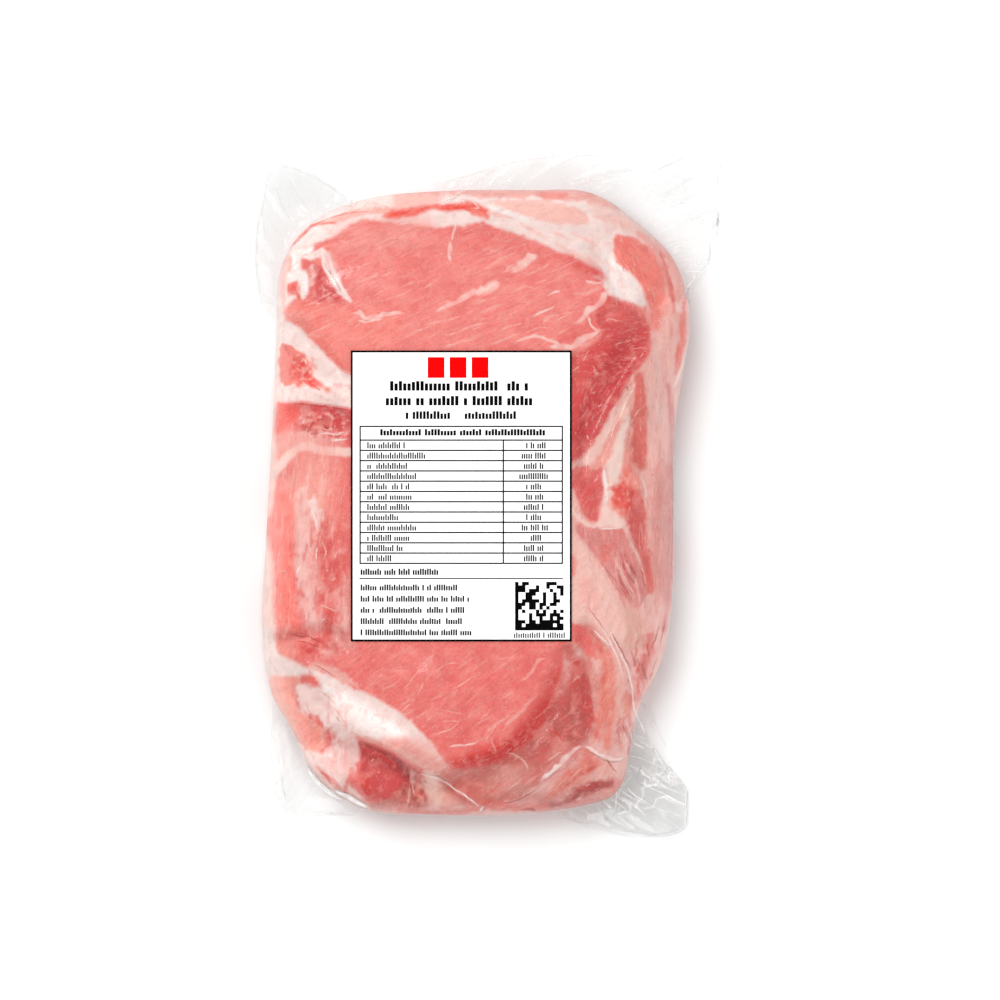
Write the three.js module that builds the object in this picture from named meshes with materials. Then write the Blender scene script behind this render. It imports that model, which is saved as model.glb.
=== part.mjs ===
// A raw boneless pork loin folded into one slab and vacuum-sealed in a clear bag, with a paper label on top.
// The bag with the meat in it is one body: a soft slab whose muscles, fat folds and seams show as relief,
// with the spare film standing out as four thin crumpled flaps at the corners.
// Millimetres, +Z up. The slab lies flat on z = 0, +Y is the way the label reads upwards.

import * as THREE from "three";

// Driving dimensions
const crownHeight = 35.4;        // top of the slab at its highest
const crownDropAcross = 3.2;     // how far the crown falls towards the two long sides
const crownDropAlong = 4.2;      // and towards the two short sides
const halfWidth = 72;
const halfLength = 110;
const seamHeight = 12;           // where the film's two sheets meet on the slab's flank
const underRound = 9;            // how far the flat underside stays inside the edge
const sideRound = { right: 24, top: 27, left: 15, bottom: 24 };
const filmThickness = 1.2;       // of a flap: two sheets with the air between them
const filmHug = 1.5;             // how far the film stands out where it hugs the meat
const labelWidth = 76.4;
const labelLength = 100.6;
const labelThickness = 0.4;
const labelGap = 0.3;
const labelCentre = [-9.2, -0.8];
const pole = new THREE.Vector2(-14, -2);

// The slab seen from above, counter-clockwise from the middle of the right side
const meatOutline = [
  [65, -4], [65, 20], [68, 42], [70.5, 60], [66, 80], [53, 94], [36, 105], [14, 106],
  [-14, 105.8], [-42, 103], [-61.5, 94.5], [-72.5, 78], [-74, 52], [-75.5, 22], [-77.5, -15],
  [-79, -45], [-76, -68], [-67.5, -84], [-60, -99], [-43, -110], [-20, -112], [6, -112],
  [32.5, -109], [46.5, -102], [52, -77], [61, -57], [64.5, -35],
];

// The four flaps of spare film, each along its free edge, counter-clockwise, with the height of that edge
const flaps = {
  topRight: {
    edge: [
      [69, 68], [75, 75], [77.5, 82], [77.5, 87], [80.5, 91], [81.2, 96], [78.5, 101.5], [80.5, 107.5],
      [81, 114], [77, 119.1], [70, 118.3], [65, 115.5], [60, 112.6], [50, 112.6], [43, 116.5], [32, 118],
      [18, 116.8], [5, 113.5], [-6, 111], [-19, 107.6],
    ],
    segments: 40,
    height: 9,
    wave: 2.2,
    waveLength: 17,
  },
  topLeft: {
    edge: [
      [-50, 104], [-54, 107], [-61.5, 111.8], [-67, 114.6], [-76, 115.2], [-78.5, 107.5], [-79.5, 101],
      [-81, 92], [-81, 78], [-80, 70], [-78, 63.5], [-75, 59.5],
    ],
    segments: 24,
    height: 5,
    wave: 1.4,
    waveLength: 15,
  },
  bottomLeft: {
    edge: [
      [-75, -75], [-74.8, -87], [-74.8, -101], [-74, -108.5], [-69.5, -113.5], [-64, -111.5], [-45, -111.5],
    ],
    segments: 16,
    height: 3,
    wave: 1.2,
    waveLength: 14,
  },
  bottomRight: {
    edge: [
      [26, -113], [42, -116.5], [58, -119.4], [65, -118.7], [69, -116], [69.4, -109], [69, -102],
      [61.5, -93], [53.5, -81],
    ],
    segments: 26,
    height: 3,
    wave: 1.5,
    waveLength: 16,
  },
};

// Folds and seams that run over the slab: depth is below the crown, and a negative depth is a ridge
const folds = {
  upperLeftFold: { line: [[-80, 29], [-62, 28.5], [-44, 28]], reach: 9, depth: 4.5 },
  leftCrease: { line: [[-80, -52], [-70, -51], [-57, -48.5], [-49, -51]], reach: 5.5, depth: 3.5 },
  upperLeftSeam: { line: [[-78, 58], [-66, 57], [-58, 48], [-47, 39]], reach: 6, depth: 1.6 },
  fatRidge: { line: [[-62, -60], [-48, -73], [-33, -82], [-22, -89], [-13, -96]], reach: 8, depth: -2.6 },
  tuckedEnd: { line: [[-54, -87], [-38, -95], [-26, -101], [-19, -105]], reach: 9, depth: 5 },
  stepBesideLowerEye: {
    line: [[31, -50], [28, -62], [23, -75], [16, -85], [8, -93.5], [-2, -99], [-12, -100]],
    reach: 9,
    depth: 4.5,
  },
  darkRecess: { line: [[58, 63], [50, 49], [41, 34], [35, 21], [31, 9]], reach: 9, depth: 3.6 },
  rightSeam: { line: [[50, 22], [55, 8], [54, -16], [58, -34]], reach: 6, depth: 2 },
  rightRim: { line: [[66, 66], [68, 52], [66, 38]], reach: 7, depth: -2 },
  upperRightSeam: { line: [[38, 85], [46, 70], [57, 67]], reach: 6, depth: 1.6 },
};

// Rounded muscles that stand up from the crown
const bulges = {
  upperEye: { centre: [-16, 70], reach: [62, 34], height: 1.6 },
  leftMuscle: { centre: [-65, -18], reach: [20, 34], height: 2.2 },
  lowerEye: { centre: [-8, -70], reach: [40, 34], height: 3.2 },
  upperRightMuscle: { centre: [52, 78], reach: [17, 20], height: 1.8 },
};

const hollowFade = 5;            // a hollow reaches its full depth this far outside the label
const paperMargin = 7;           // and a bulge starts to rise this far outside it

// How the surface is divided, as shares of the way out from the middle and of the flap's breadth
const topRings = [0.15, 0.3, 0.43, 0.55, 0.61, 0.67, 0.73, 0.79, 0.84, 0.885, 0.92, 0.948, 0.97, 0.986, 0.996];
const underRings = [0.35, 0.7, 1];
const flapRings = [0.34, 0.68, 0.97];
const sideSegments = { right: 26, top: 8, left: 22, bottom: 12 };

const smooth = (t) => {
  const k = Math.min(Math.max(t, 0), 1);
  return k * k * (3 - 2 * k);
};

// A smooth closed or open curve through a few points, as a list of Vector2 samples
function curvePoints(points, closed, count) {
  const knots = points.map(([x, y]) => new THREE.Vector3(x, y, 0));
  const curve = new THREE.CatmullRomCurve3(knots, closed, "centripetal");
  return curve.getSpacedPoints(count).map((p) => new THREE.Vector2(p.x, p.y));
}

function distanceToLine(x, y, line) {
  let nearest = Infinity;
  for (let i = 0; i + 1 < line.length; i += 1) {
    const [ax, ay] = line[i];
    const [bx, by] = line[i + 1];
    const along = ((x - ax) * (bx - ax) + (y - ay) * (by - ay)) / ((bx - ax) ** 2 + (by - ay) ** 2);
    const t = Math.min(Math.max(along, 0), 1);
    nearest = Math.min(nearest, Math.hypot(x - ax - t * (bx - ax), y - ay - t * (by - ay)));
  }
  return nearest;
}

// How far a point lies outside the label's rectangle
function outsideLabel(x, y) {
  const dx = Math.max(Math.abs(x - labelCentre[0]) - labelWidth / 2, 0);
  const dy = Math.max(Math.abs(y - labelCentre[1]) - labelLength / 2, 0);
  return Math.hypot(dx, dy);
}

const crown = (x, y) =>
  crownHeight - crownDropAcross * ((x - pole.x) / halfWidth) ** 2 - crownDropAlong * (y / halfLength) ** 2;

// Folds and muscles: hollows run in under the label's edge, and what stands up keeps clear of the paper
function relief(x, y) {
  const outside = outsideLabel(x, y);
  let height = 0;
  for (const fold of Object.values(folds)) {
    const near = distanceToLine(x, y, fold.line) / fold.reach;
    height -= fold.depth * smooth(1 - near);
  }
  for (const bulge of Object.values(bulges)) {
    const dx = (x - bulge.centre[0]) / bulge.reach[0];
    const dy = (y - bulge.centre[1]) / bulge.reach[1];
    height += bulge.height * smooth(1 - Math.hypot(dx, dy));
  }
  return height < 0 ? height * smooth(outside / hollowFade) : height * smooth((outside - paperMargin) / 8);
}

// The rounding of the top edge, which is broader on some sides than on others
function edgeReach(angle) {
  const across = Math.cos(angle);
  const along = Math.sin(angle);
  const side = across > 0 ? sideRound.right : sideRound.left;
  const end = along > 0 ? sideRound.top : sideRound.bottom;
  return side * across ** 2 + end * along ** 2;
}

const quarterRound = (t) => Math.sqrt(1 - (1 - Math.min(t, 1)) ** 2);

// The stretches round the bag: flaps and the hugging sides between them, each with its points on the
// meat's edge and on the film's edge
function bagStretches() {
  const dense = curvePoints(meatOutline, true, 1440);
  const angles = dense.map((p) => Math.atan2(p.y - pole.y, p.x - pole.x));
  const nearestIndex = ([x, y]) => {
    const wanted = Math.atan2(y - pole.y, x - pole.x);
    let best = 0;
    angles.forEach((angle, i) => {
      const miss = Math.abs(Math.atan2(Math.sin(angle - wanted), Math.cos(angle - wanted)));
      const least = Math.abs(Math.atan2(Math.sin(angles[best] - wanted), Math.cos(angles[best] - wanted)));
      best = miss < least ? i : best;
    });
    return best;
  };
  const meatStretch = (from, to, count) => {
    const total = (to - from + dense.length) % dense.length;
    return Array.from({ length: count }, (_, i) => dense[Math.round(from + (total * i) / count) % dense.length]);
  };
  const outward = (p) => p.clone().sub(pole).setLength(filmHug).add(p);

  const order = ["topRight", "topLeft", "bottomLeft", "bottomRight"];
  const sides = ["top", "left", "bottom", "right"];
  const columns = [];
  order.forEach((name, n) => {
    const flap = flaps[name];
    const next = flaps[order[(n + 1) % order.length]];
    const start = nearestIndex(flap.edge[0]);
    const end = nearestIndex(flap.edge[flap.edge.length - 1]);
    const rim = curvePoints(flap.edge, false, flap.segments);
    meatStretch(start, end, flap.segments).forEach((meat, i) => {
      const along = i / flap.segments;
      const length = along * flap.segments * rim[0].distanceTo(rim[1]);
      const loose = smooth(4 * along) * smooth(4 * (1 - along));
      const turn = (2 * Math.PI * length) / flap.waveLength;
      const wave = flap.wave * (0.62 * Math.sin(turn) + 0.38 * Math.sin(1.73 * turn + 1));
      const height = seamHeight + loose * (flap.height + wave - seamHeight);
      columns.push({ meat, rim: rim[i], height });
    });
    const sideStart = end;
    const sideEnd = nearestIndex(next.edge[0]);
    for (const meat of meatStretch(sideStart, sideEnd, sideSegments[sides[n]])) {
      columns.push({ meat, rim: outward(meat), height: seamHeight });
    }
  });
  return columns;
}

// One closed body: rings on top from the pole to the meat's edge, over the flaps to the film's edge, and
// back underneath to the flat underside
function buildBag() {
  const columns = bagStretches();
  const count = columns.length;
  const position = [];
  const addRing = (pointOf) => {
    const first = position.length / 3;
    for (const column of columns) {
      position.push(...pointOf(column));
    }
    return first;
  };
  const onSlab = (column, part) => {
    const x = pole.x + part * (column.meat.x - pole.x);
    const y = pole.y + part * (column.meat.y - pole.y);
    return [x, y, column.meat.distanceTo(pole) * (1 - part)];
  };
  const topPoint = (column, part) => {
    const [x, y, inside] = onSlab(column, part);
    const angle = Math.atan2(column.meat.y - pole.y, column.meat.x - pole.x);
    const full = crown(x, y) + relief(x, y);
    const rise = quarterRound(inside / edgeReach(angle));
    return [x, y, seamHeight + filmThickness / 2 + rise * (full - seamHeight - filmThickness / 2)];
  };
  const flapPoint = (column, part, side) => {
    const x = THREE.MathUtils.lerp(column.meat.x, column.rim.x, part);
    const y = THREE.MathUtils.lerp(column.meat.y, column.rim.y, part);
    const middle = THREE.MathUtils.lerp(seamHeight, column.height, smooth(part));
    return [x, y, middle + (side * filmThickness) / 2];
  };
  const underPoint = (column, part) => {
    const [x, y] = onSlab(column, 1 - (underRound / column.meat.distanceTo(pole)) * (1 - part));
    return [x, y, (seamHeight - filmThickness / 2) * (1 - quarterRound(1 - part))];
  };

  position.push(pole.x, pole.y, crown(pole.x, pole.y));
  const rings = topRings.map((part) => addRing((column) => topPoint(column, part)));
  rings.push(addRing((column) => flapPoint(column, 0, 1)));
  for (const part of flapRings) {
    rings.push(addRing((column) => flapPoint(column, part, 1)));
  }
  rings.push(addRing((column) => [column.rim.x, column.rim.y, column.height]));
  for (const part of [...flapRings].reverse()) {
    rings.push(addRing((column) => flapPoint(column, part, -1)));
  }
  for (const part of [...underRings].reverse()) {
    rings.push(addRing((column) => underPoint(column, part)));
  }
  rings.push(addRing((column) => underPoint(column, 0)));
  const underPole = position.length / 3;
  position.push(pole.x, pole.y, 0);

  const index = [];
  for (let i = 0; i < count; i += 1) {
    const j = (i + 1) % count;
    index.push(0, rings[0] + i, rings[0] + j);
    for (let r = 0; r + 1 < rings.length; r += 1) {
      const [a, b] = [rings[r] + i, rings[r] + j];
      const [c, d] = [rings[r + 1] + i, rings[r + 1] + j];
      index.push(a, c, d, a, d, b);
    }
    index.push(underPole, rings[rings.length - 1] + j, rings[rings.length - 1] + i);
  }
  const geometry = new THREE.BufferGeometry();
  geometry.setAttribute("position", new THREE.Float32BufferAttribute(position, 3));
  geometry.setIndex(index);
  geometry.computeVertexNormals();
  return geometry;
}

// A sheet of paper lying on the film, bent with the crown
function buildLabel() {
  const geometry = new THREE.BoxGeometry(labelWidth, labelLength, labelThickness, 8, 10, 1);
  geometry.translate(labelCentre[0], labelCentre[1], labelGap + labelThickness / 2);
  const position = geometry.attributes.position;
  for (let i = 0; i < position.count; i += 1) {
    position.setZ(i, position.getZ(i) + crown(position.getX(i), position.getY(i)));
  }
  geometry.computeVertexNormals();
  return geometry;
}

function named(name, geometry, colour, roughness) {
  const material = new THREE.MeshStandardMaterial({ color: colour, roughness, metalness: 0 });
  const mesh = new THREE.Mesh(geometry, material);
  mesh.name = name;
  return mesh;
}

const packedLoin = new THREE.Group();
packedLoin.add(named("sealed_bag", buildBag(), 0xee8f86, 0.3));
packedLoin.add(named("label", buildLabel(), 0xfbfbfa, 0.6));

export default packedLoin;
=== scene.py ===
# A raw boneless pork loin folded into one slab and vacuum-sealed in a clear bag, with a printed paper
# label on top. The frame's two solids give every place: the bag with the meat in it, and the label.
import math

import bmesh
import bpy
import numpy as np
from mathutils.bvhtree import BVHTree
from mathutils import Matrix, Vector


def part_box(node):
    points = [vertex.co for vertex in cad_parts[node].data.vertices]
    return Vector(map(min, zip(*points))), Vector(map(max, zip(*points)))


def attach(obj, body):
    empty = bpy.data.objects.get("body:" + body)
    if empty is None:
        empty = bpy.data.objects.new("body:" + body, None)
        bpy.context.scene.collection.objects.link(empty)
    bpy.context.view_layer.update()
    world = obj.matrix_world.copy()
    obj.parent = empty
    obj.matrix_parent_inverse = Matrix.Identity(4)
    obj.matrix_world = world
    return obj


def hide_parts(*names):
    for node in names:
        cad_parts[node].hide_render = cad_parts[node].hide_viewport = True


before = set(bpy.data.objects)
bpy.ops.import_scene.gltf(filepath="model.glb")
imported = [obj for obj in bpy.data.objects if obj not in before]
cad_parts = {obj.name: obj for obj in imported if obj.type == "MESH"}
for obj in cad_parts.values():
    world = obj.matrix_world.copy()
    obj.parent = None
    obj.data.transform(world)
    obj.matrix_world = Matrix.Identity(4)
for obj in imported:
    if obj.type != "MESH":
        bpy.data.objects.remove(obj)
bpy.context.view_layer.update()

# The slab's shape
# The loin is folded on itself and pressed flat by the film, so its outline is a rounded oblong and its top
# a low crown. Seams between the muscles run in as grooves, and the two round eyes of the loin stand up.
MM = 0.001
label_low, label_high = (np.array(corner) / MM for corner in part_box("label"))
label_middle = (label_low + label_high) / 2
label_half = (label_high - label_low) / 2
crown_height = 35.4
crown_drop = (3.2, 4.2)
half_size = (72.0, 110.0)
pole = np.array([-14.0, -2.0])
seam_height = 12.0
under_round = 9.0
flap_thickness = 1.2
edge_round = {"right": 24.0, "top": 27.0, "left": 15.0, "bottom": 24.0}
meat_outline = [
    (65, -4), (65, 20), (68, 42), (70.5, 60), (66, 80), (53, 94), (36, 105), (14, 106),
    (-14, 105.8), (-42, 103), (-61.5, 94.5), (-72.5, 78), (-74, 52), (-75.5, 22), (-77.5, -15),
    (-79, -45), (-76, -68), (-67.5, -84), (-60, -99), (-43, -110), (-20, -112), (6, -112),
    (32.5, -109), (46.5, -102), (52, -77), (61, -57), (64.5, -35),
]
# Each seam with how far it reaches to its sides and how deep it is; a ridge has a depth below 0
seams = {
    "upper left fold": ([(-80, 29), (-62, 28.5), (-44, 28)], 9, 4.5),
    "left crease": ([(-80, -52), (-70, -51), (-57, -48.5), (-49, -51)], 5.5, 3.5),
    "upper left seam": ([(-78, 58), (-66, 57), (-58, 48), (-47, 39)], 6, 1.6),
    "fat ridge": ([(-62, -60), (-48, -73), (-33, -82), (-22, -89), (-13, -96)], 8, -2.6),
    "tucked end": ([(-54, -87), (-38, -95), (-26, -101), (-19, -105)], 9, 5),
    "step": ([(31, -50), (28, -62), (23, -75), (16, -85), (8, -93.5), (-2, -99), (-12, -100)], 9, 4.5),
    "dark recess": ([(58, 63), (50, 49), (41, 34), (35, 21), (31, 9)], 9, 3.6),
    "right seam": ([(50, 22), (55, 8), (54, -16), (58, -34)], 6, 2),
    "right rim": ([(66, 66), (68, 52), (66, 38)], 7, -2),
    "upper right seam": ([(38, 85), (46, 70), (57, 67)], 6, 1.6),
}
# Each muscle with its middle, how far it reaches across and along, and how high it stands up
bulges = {
    "upper eye": ((-16, 70), (62, 34), 1.6),
    "left muscle": ((-65, -18), (20, 34), 2.2),
    "lower eye": ((-8, -70), (40, 34), 3.2),
    "upper right muscle": ((52, 78), (17, 20), 1.8),
}


def smooth(t):
    t = np.clip(t, 0, 1)
    return t * t * (3 - 2 * t)


def curve_through(points, closed=False, steps=8):
    """Points on a smooth curve through the given ones; two points give a straight line."""
    knots = np.array(points, float)
    if closed:
        knots = np.vstack([knots[-1:], knots, knots[:2]])
    elif len(knots) == 2:
        return knots
    else:
        knots = np.vstack([2 * knots[:1] - knots[1:2], knots, 2 * knots[-1:] - knots[-2:-1]])
    t = np.linspace(0, 1, steps, endpoint=False)[:, None]
    pieces = []
    for a, b, c, d in zip(knots[:-3], knots[1:-2], knots[2:-1], knots[3:]):
        bend = 2 * a - 5 * b + 4 * c - d
        twist = 3 * b - a - 3 * c + d
        pieces.append(b + 0.5 * t * (c - a + t * (bend + t * twist)))
    curve = np.vstack(pieces)
    return curve if closed else np.vstack([curve, knots[-2:-1]])


def travelled(line):
    """The way covered along a line up to each of its points."""
    return np.concatenate([[0], np.cumsum(np.hypot(*(line[1:] - line[:-1]).T))])


def points_at(line, wanted):
    """Points on a line after the wanted ways along it."""
    return np.column_stack([np.interp(wanted, travelled(line), line[:, axis]) for axis in (0, 1)])


def line_distance(x, y, line):
    """How far each point lies from a line of points, and its share of the way along it."""
    line = np.array(line, float)
    way = travelled(line)
    nearest = np.full(np.shape(x), 1e9)
    share = np.zeros(np.shape(x))
    for start, end, before, after in zip(line[:-1], line[1:], way[:-1], way[1:]):
        ex, ey = end - start
        length = after - before
        t = np.clip(((x - start[0]) * ex + (y - start[1]) * ey) / max(length, 1e-6) ** 2, 0, 1)
        away = np.hypot(x - start[0] - t * ex, y - start[1] - t * ey)
        closer = away < nearest
        nearest = np.where(closer, away, nearest)
        share = np.where(closer, (before + t * length) / way[-1], share)
    return nearest, share


def outside_label(x, y):
    across = np.maximum(np.abs(x - label_middle[0]) - label_half[0], 0)
    along = np.maximum(np.abs(y - label_middle[1]) - label_half[1], 0)
    return np.hypot(across, along)


def crown(x, y):
    fall = crown_drop[0] * ((x - pole[0]) / half_size[0]) ** 2 + crown_drop[1] * (y / half_size[1]) ** 2
    return crown_height - fall


def relief(x, y):
    """Seams and muscles, fading out where the label's stiff paper holds the film smooth."""
    height = np.zeros(np.shape(x))
    for line, reach, depth in seams.values():
        height -= depth * smooth(1 - line_distance(x, y, line)[0] / reach)
    for centre, reach, rise in bulges.values():
        away = np.hypot((x - centre[0]) / reach[0], (y - centre[1]) / reach[1])
        height += rise * smooth(1 - away)
    outside = outside_label(x, y)
    return np.where(height < 0, height * smooth(outside / 5), height * smooth((outside - 2) / 10))


outline = curve_through(meat_outline, closed=True, steps=40)
outline_angle = np.arctan2(outline[:, 1] - pole[1], outline[:, 0] - pole[0])
outline_reach = np.hypot(*(outline - pole).T)


def slab_reach(angle):
    """Distance from the pole to the slab's edge in a direction."""
    order = np.argsort(outline_angle)
    return np.interp(angle, outline_angle[order], outline_reach[order], period=2 * math.pi)


def edge_reach(angle):
    """How far in from the edge the top has finished rounding over."""
    across = np.cos(angle)
    along = np.sin(angle)
    side = np.where(across > 0, edge_round["right"], edge_round["left"])
    end = np.where(along > 0, edge_round["top"], edge_round["bottom"])
    return side * across ** 2 + end * along ** 2


def quarter_round(t):
    return np.sqrt(1 - (1 - np.clip(t, 0, 1)) ** 2)


def top_height(x, y, inset=0.0, below=0.0):
    """Height of the film on the slab's top, or of the meat that lies inset and below it."""
    angle = np.arctan2(y - pole[1], x - pole[0])
    inside = slab_reach(angle) - inset - np.hypot(x - pole[0], y - pole[1])
    rise = quarter_round(np.maximum(inside, 0) / edge_reach(angle))
    start = seam_height + (0 if inset else flap_thickness / 2)
    return start + rise * (crown(x, y) + relief(x, y) - below - start)


# Meat
# Two slices of the pink eye of the loin, above and below the label, with darker red muscle, white fat and
# silvery membrane folded in between. One closed skin of points, finest where it shows.
meat_inset = 0.45
meat_below = 0.3
meat_columns = 860
meat_rings = 88
meat_under_rings = 10
plate_inset = 3.0


def ring_of(points, height):
    return np.column_stack([points, np.broadcast_to(height, len(points))])


def placed(name, data):
    """Puts a mesh, a lamp or a camera in the scene."""
    piece = bpy.data.objects.new(name, data)
    bpy.context.scene.collection.objects.link(piece)
    return piece


def mesh_of(name, points, faces):
    """A mesh from points in millimetres."""
    mesh = bpy.data.meshes.new(name)
    mesh.from_pydata((np.array(points) * MM).tolist(), [], faces)
    return mesh


def closed_mesh(name, rings, centre_top, centre_under):
    """A closed skin from rings of points that run from the top's middle over the edge and back under."""
    count = len(rings[0])
    points = np.vstack([[centre_top], *rings, [centre_under]])
    here = np.arange(count)
    following = (here + 1) % count
    faces = [(0, 1 + a, 1 + b) for a, b in zip(here, following)]
    for ring in range(len(rings) - 1):
        start = 1 + ring * count
        nearer = start + count
        quads = np.column_stack([start + here, nearer + here, nearer + following, start + following])
        faces += [tuple(quad) for quad in quads.tolist()]
    last = 1 + (len(rings) - 1) * count
    under = len(points) - 1
    faces += [(under, last + b, last + a) for a, b in zip(here.tolist(), following.tolist())]
    mesh = mesh_of(name, points, faces)
    mesh.shade_smooth()
    mesh.validate()
    return placed(name, mesh), points


def label_reach(angle, inset):
    """Distance from the pole to the label's edge, less the inset, in a direction."""
    across = np.cos(angle)
    along = np.sin(angle)
    side = np.where(across > 0, label_high[0] - inset, label_low[0] + inset) - pole[0]
    end = np.where(along > 0, label_high[1] - inset, label_low[1] + inset) - pole[1]
    to_side = np.abs(side) / np.maximum(np.abs(across), 1e-9)
    to_end = np.abs(end) / np.maximum(np.abs(along), 1e-9)
    return np.minimum(to_side, to_end)


travel = travelled(outline)
even = np.linspace(0, travel[-1], meat_columns, endpoint=False)
meat_angle = np.interp(even, travel, np.unwrap(outline_angle))
direction = np.column_stack([np.cos(meat_angle), np.sin(meat_angle)])
meat_edge = slab_reach(meat_angle) - meat_inset
plate_edge = label_reach(meat_angle, plate_inset)
rings = []
for share in (0.35, 0.7):
    spot = pole + direction * (plate_edge * share)[:, None]
    rings.append(ring_of(spot, crown(*spot.T) - meat_below))
for step in range(meat_rings + 1):
    share = 1 - (1 - step / meat_rings) ** 1.4
    spot = pole + direction * (plate_edge + share * (meat_edge - plate_edge))[:, None]
    rings.append(ring_of(spot, top_height(*spot.T, meat_inset, meat_below)))
for step in range(1, meat_under_rings + 1):
    share = (step / meat_under_rings) ** 1.4
    spot = pole + direction * (meat_edge - under_round * share)[:, None]
    rings.append(ring_of(spot, meat_below + (seam_height - meat_below) * (1 - quarter_round(share))))
for share in (0.75, 0.45):
    spot = pole + direction * (meat_edge * share)[:, None]
    rings.append(ring_of(spot, np.full(meat_columns, meat_below)))
meat, meat_points = closed_mesh(
    "meat", rings, [*pole, crown(*pole) - meat_below], [*pole, meat_below])
meat_x, meat_y, meat_z = meat_points.T


def unevenness(x, y, size, seed):
    """Smooth random values from -1 to 1 in lumps of about the given size."""
    cells = 96
    lattice = np.random.default_rng(seed).uniform(-1, 1, (cells + 1, cells + 1))
    u = x / size + 500.0
    v = y / size + 500.0
    i = np.floor(u).astype(int)
    j = np.floor(v).astype(int)
    s = smooth(u - i)
    t = smooth(v - j)
    i %= cells
    j %= cells
    low = lattice[i, j] * (1 - s) + lattice[i + 1, j] * s
    high = lattice[i, j + 1] * (1 - s) + lattice[i + 1, j + 1] * s
    return low * (1 - t) + high * t


# How much light the film adds to what lies under it, and how brightly the studio lights the slab
film_veil = 0.062
studio_light = 1.33


def linear(colour):
    """An 8-bit screen colour as linear light."""
    share = np.array(colour, float) / 255
    return np.where(share <= 0.04045, share / 12.92, ((share + 0.055) / 1.055) ** 2.4)


def bare(colour):
    """The flesh's own colour, when the given one is seen through the film in the studio's light."""
    return np.clip((linear(colour) - film_veil) / studio_light, 0.002, 0.9)


muscle = (241, 131, 126)
fat = (250, 226, 220)
white_fat = (253, 242, 238)
pink = (253, 193, 182)
salmon = (252, 168, 154)
coral = (251, 141, 130)
flank = (238, 188, 180)
dark = (208, 92, 94)
seam_shade = (186, 70, 76)
blood = (245, 98, 84)
step_shade_brown = (182, 88, 85)
membrane = (222, 145, 140)
pale_rim = (253, 214, 204)
tint = np.tile(bare(muscle), (len(meat_x), 1))
ragged = 0.8 * unevenness(meat_x, meat_y, 3.1, 11) + 0.8 * unevenness(meat_x, meat_y, 1.4, 12)


def lay(colour, cover):
    """Paints a tissue over the skin, as thickly as cover says at each point."""
    tint[:] += np.clip(cover, 0, 1)[:, None] * (bare(colour) - tint)


def close_to(line, margin):
    """Which points of the meat lie near a line."""
    low = line.min(0) - margin
    high = line.max(0) + margin
    return (meat_x > low[0]) & (meat_x < high[0]) & (meat_y > low[1]) & (meat_y < high[1])


def area(colour, points, soft=0.8, rough=0.45, rounded=True, cover=1.0):
    """Paints a closed patch of one tissue, with a soft and slightly ragged edge."""
    loop = curve_through(points, closed=True, steps=5) if rounded else np.array(points, float)
    near = close_to(loop, 3 + 3 * soft)
    x = meat_x[near]
    y = meat_y[near]
    closed_loop = np.vstack([loop, loop[:1]])
    distance, _ = line_distance(x, y, closed_loop)
    inside = np.zeros(x.shape, bool)
    for (ax, ay), (bx, by) in zip(closed_loop[:-1], closed_loop[1:]):
        if ay != by:
            crosses = (ay > y) != (by > y)
            inside ^= crosses & (x < ax + (y - ay) * (bx - ax) / (by - ay))
    signed = np.where(inside, -distance, distance) + rough * ragged[near]
    painted = np.zeros(meat_x.shape)
    painted[near] = smooth(0.5 - signed / (2 * soft)) * cover
    lay(colour, painted)


def streak(colour, points, width, soft=0.5, rough=0.3, cover=1.0, even_width=False):
    """Paints a line of tissue that thins out towards both ends."""
    line = curve_through(points, steps=6)
    near = close_to(line, width + 4)
    distance, share = line_distance(meat_x[near], meat_y[near], line)
    half = width / 2 if even_width else width / 2 * np.sqrt(np.clip(1 - (2 * share - 1) ** 2, 0, 1))
    painted = np.zeros(meat_x.shape)
    painted[near] = smooth(0.5 - (distance - half + rough * ragged[near]) / (2 * soft)) * cover
    lay(colour, painted)


# Fat over the top edge and down the right side, and the silvery fat round the lower eye
area(fat, [(-60.5, 86), (-52, 89.5), (-48, 93.5), (-43, 95), (-31.5, 93.5), (-18, 92), (-8, 92.5),
    (-2, 94.5), (6.5, 91.2), (15.5, 87.8), (22.5, 84.5), (29.5, 82), (38.5, 77), (41.5, 75.5), (42, 69),
    (48.5, 66.5), (54.5, 64.5), (57, 50), (100, 50), (100, 130), (-100, 130), (-100, 62), (-72, 62),
    (-66, 68), (-65, 76), (-64, 82)], rounded=False)
area(flank, [(54.5, 63), (57, 57), (56, 49.5), (53.5, 45), (49.5, 39), (44, 30.5), (41, 25), (35, 15),
    (27, 8), (27, -52), (26, -59.5), (22.5, -68.5), (19, -76), (13.5, -83.5), (6, -89.5), (0, -93.5),
    (-8.5, -96), (-16, -95), (-22, -103), (-30, -125), (100, -125), (100, 63)], rounded=False, soft=1)
area((247, 162, 151), [(34, 104), (43, 101), (51, 96), (56, 90), (60, 83), (62, 76), (65, 66), (78, 66),
    (78, 90), (66, 106), (50, 116), (33, 114)], soft=2.4, cover=0.8)
area((246, 196, 186), [(34, 103), (44, 99), (51, 93), (57, 85), (52, 89), (45, 92), (38, 96)], soft=2,
    cover=0.6)
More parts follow.
